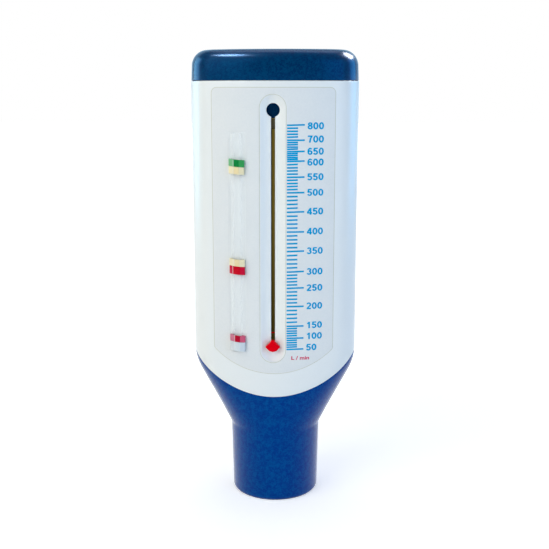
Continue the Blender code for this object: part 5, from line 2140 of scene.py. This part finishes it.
@dataclass
class Studio:
    """Pale floor, soft lamps and the camera.

    Attributes:
        distance: Distance of the camera from the point that it looks at.
        azimuth: Turn of the camera to the right of the front.
        elevation: Its angle over the floor.
        aim_x: Place across the front that it looks at.
        aim_z: Height that it looks at.
        lens: Focal length on a sensor 36 mm wide, in millimetres.
        room_level: Level of the light all round.
        mirrored_level: Level of that light where it is seen in a reflection.
        floor_near: Share of white that the floor shows by itself close to the meter.
        floor_mirrored: That share where the floor is seen in a reflection.
        floor_half: Half the width of the floor.
    """

    distance: float = 300.0 * MM
    azimuth: float = math.radians(2.78)
    elevation: float = math.radians(11.3)
    aim_x: float = -0.26 * MM
    aim_z: float = 73.93 * MM
    lens: float = 59.15
    room_level: float = 0.46
    mirrored_level: float = 0.25
    floor_near: float = 0.42
    floor_mirrored: float = 0.6
    floor_half: float = 4.0

    def camera(self) -> None:
        """Places the camera where the photograph was taken from."""
        data = bpy.data.cameras.new("camera")
        data.lens = self.lens
        data.sensor_width = 36.0
        data.clip_start = 0.01
        data.clip_end = 20.0
        camera = bpy.data.objects.new("camera", data)
        bpy.context.scene.collection.objects.link(camera)
        away = Vector((
            math.sin(self.azimuth) * math.cos(self.elevation),
            -math.cos(self.azimuth) * math.cos(self.elevation),
            math.sin(self.elevation),
        ))
        camera.location = Vector((self.aim_x, 0.0, self.aim_z)) + away * self.distance
        camera.rotation_euler = away.to_track_quat("Z", "Y").to_euler()
        bpy.context.scene.camera = camera

    def lamp(
        self, name: str, place: Point, size: Pair, power: float, colour: str,
        mirrored_only: bool = False,
    ) -> None:
        """Hangs one soft rectangular lamp that faces the middle of the meter.

        Args:
            name: Name of the lamp.
            place: Where it hangs.
            size: Its width and height.
            power: Its power in watts.
            colour: Its colour, sRGB.
            mirrored_only: Whether it is seen in reflections and lights nothing else.
        """
        data = bpy.data.lights.new(name, "AREA")
        data.shape = "RECTANGLE"
        data.size, data.size_y = size
        data.energy = power
        data.color = linear(colour)[:3]
        lamp = bpy.data.objects.new(name, data)
        bpy.context.scene.collection.objects.link(lamp)
        lamp.location = place
        away = Vector(place) - Vector((0.0, 0.0, self.aim_z))
        lamp.rotation_euler = away.to_track_quat("Z", "Y").to_euler()
        lamp.visible_camera = False
        lamp.visible_diffuse = not mirrored_only

    def world(self) -> None:
        """Even pale light all round, and plain white where the camera looks past the meter."""
        world = bpy.data.worlds.new("studio")
        bpy.context.scene.world = world
        world.use_nodes = True
        tree = world.node_tree
        tree.nodes.clear()
        path = add(tree, "ShaderNodeLightPath").outputs
        room = add(tree, "ShaderNodeBackground", {
            "Color": linear("#F0F4FA"), "Strength": self.room_level,
        })
        dim = add(tree, "ShaderNodeBackground", {
            "Color": linear("#C4DAFA"), "Strength": self.mirrored_level,
        })
        white = add(tree, "ShaderNodeBackground", {"Color": linear("#FFFFFF"), "Strength": 1.0})
        lit = add(tree, "ShaderNodeMixShader", {
            0: path["Is Glossy Ray"], 1: room.outputs[0], 2: dim.outputs[0],
        })
        mixed = add(tree, "ShaderNodeMixShader", {
            0: path["Is Camera Ray"], 1: lit.outputs[0], 2: white.outputs[0],
        })
        add(tree, "ShaderNodeOutputWorld", {"Surface": mixed.outputs[0]})

    def floor(self) -> None:
        """Pale floor under the rim, which keeps the meter's shadow and turns white further off."""
        material = bpy.data.materials.new("floor_white")
        material.use_nodes = True
        tree = material.node_tree
        tree.nodes.clear()
        rays = add(tree, "ShaderNodeLightPath").outputs
        place = add(tree, "ShaderNodeTexCoord").outputs["Object"]
        away = add(tree, "ShaderNodeVectorMath", {0: place}, operation="LENGTH").outputs["Value"]
        paler = add(tree, "ShaderNodeMapRange", {
            "Value": away, "From Min": 0.12, "From Max": 0.7,
            "To Min": self.floor_near, "To Max": 1.0,
        }).outputs["Result"]
        seen = add(tree, "ShaderNodeMath", {
            0: rays["Is Camera Ray"], 1: paler,
        }, operation="MULTIPLY").outputs[0]
        glow = add(tree, "ShaderNodeMath", {
            0: seen, 1: add(tree, "ShaderNodeMath", {
                0: rays["Is Glossy Ray"], 1: self.floor_mirrored,
            }, operation="MULTIPLY").outputs[0],
        }, operation="MAXIMUM").outputs[0]
        board = add(tree, "ShaderNodeBsdfDiffuse", {"Color": linear("#F4F4F4")})
        lit = add(tree, "ShaderNodeEmission", {"Color": linear("#FFFFFF"), "Strength": glow})
        both = add(tree, "ShaderNodeAddShader", {0: board.outputs[0], 1: lit.outputs[0]})
        add(tree, "ShaderNodeOutputMaterial", {"Surface": both.outputs[0]})
        half = self.floor_half
        corners = [(-half, -half, 0), (half, -half, 0), (half, half, 0), (-half, half, 0)]
        plane = make_piece("floor", corners, [(0, 1, 2, 3)])
        plane.data.materials.append(material)

    def build(self) -> None:
        """Sets the whole studio up; the cards are seen in reflections and light nothing."""
        bpy.context.scene.view_settings.view_transform = "Standard"
        self.camera()
        self.world()
        self.floor()
        self.lamp("key", (-0.62, -0.62, 0.5), (0.8, 0.8), 4.6, "#FFFDF0")
        self.lamp("fill", (0.75, -0.6, 0.35), (0.6, 0.8), 3.3, "#98CCFF")
        self.lamp("top", (0.0, 0.3, 0.9), (0.6, 0.4), 1.5, "#F4F8FF")
        cards = (
            ("backdrop", (0.0, 0.9, 0.35), (2.0, 1.2), 8.0, "#B4E4FF"),
            ("left_card", (-0.8, 0.3, 0.15), (0.5, 0.9), 8.0, "#98E0FF"),
            ("right_card", (0.8, 0.3, 0.15), (0.5, 0.9), 7.0, "#50C0FF"),
            ("top_left", (-0.36, -0.18, 0.95), (0.16, 0.1), 12.0, "#FFF2DC"),
            ("top_right", (0.56, 0.4, 0.66), (0.34, 0.34), 18.0, "#FFF8F0"),
        )
        for card in cards:
            self.lamp(*card, mirrored_only=True)


def main() -> None:
    """Builds the studio and every piece."""
    logging.basicConfig(level=logging.INFO, format="%(name)s %(message)s")
    Studio().build()
    FrontShell().build()
    RearShell().build()
    TopCap().build()
    Mouthpiece().build()
    ScaleLabel().build()
    ScalePrint().build()
    ZoneRail().build()
    markers = (
        ("marker_upper_yellow", "marker_upper", "marker_yellow", 108.6, 110.9, MarkerColour.YELLOW),
        ("marker_upper_green", "marker_upper", "marker_green", 110.9, 113.1, MarkerColour.GREEN),
        ("marker_middle_red", "marker_middle", "marker_red", 77.2, 79.8, MarkerColour.RED),
        ("marker_middle_yellow", "marker_middle", "marker_yellow", 79.8, 82.0, MarkerColour.YELLOW),
        ("marker_lower_pale", "marker_lower", "marker_pale", 52.3, 55.3, MarkerColour.PALE),
        ("marker_lower_red", "marker_lower", "marker_red", 55.3, 57.4, MarkerColour.ROSE),
    )
    for name, body, slot, low, high, colour in markers:
        ZoneMarker(name, body, slot, low * MM, high * MM, colour).build()
    Pointer().build()
    InnerWorks().build()


if __name__ == "__main__":
    main()
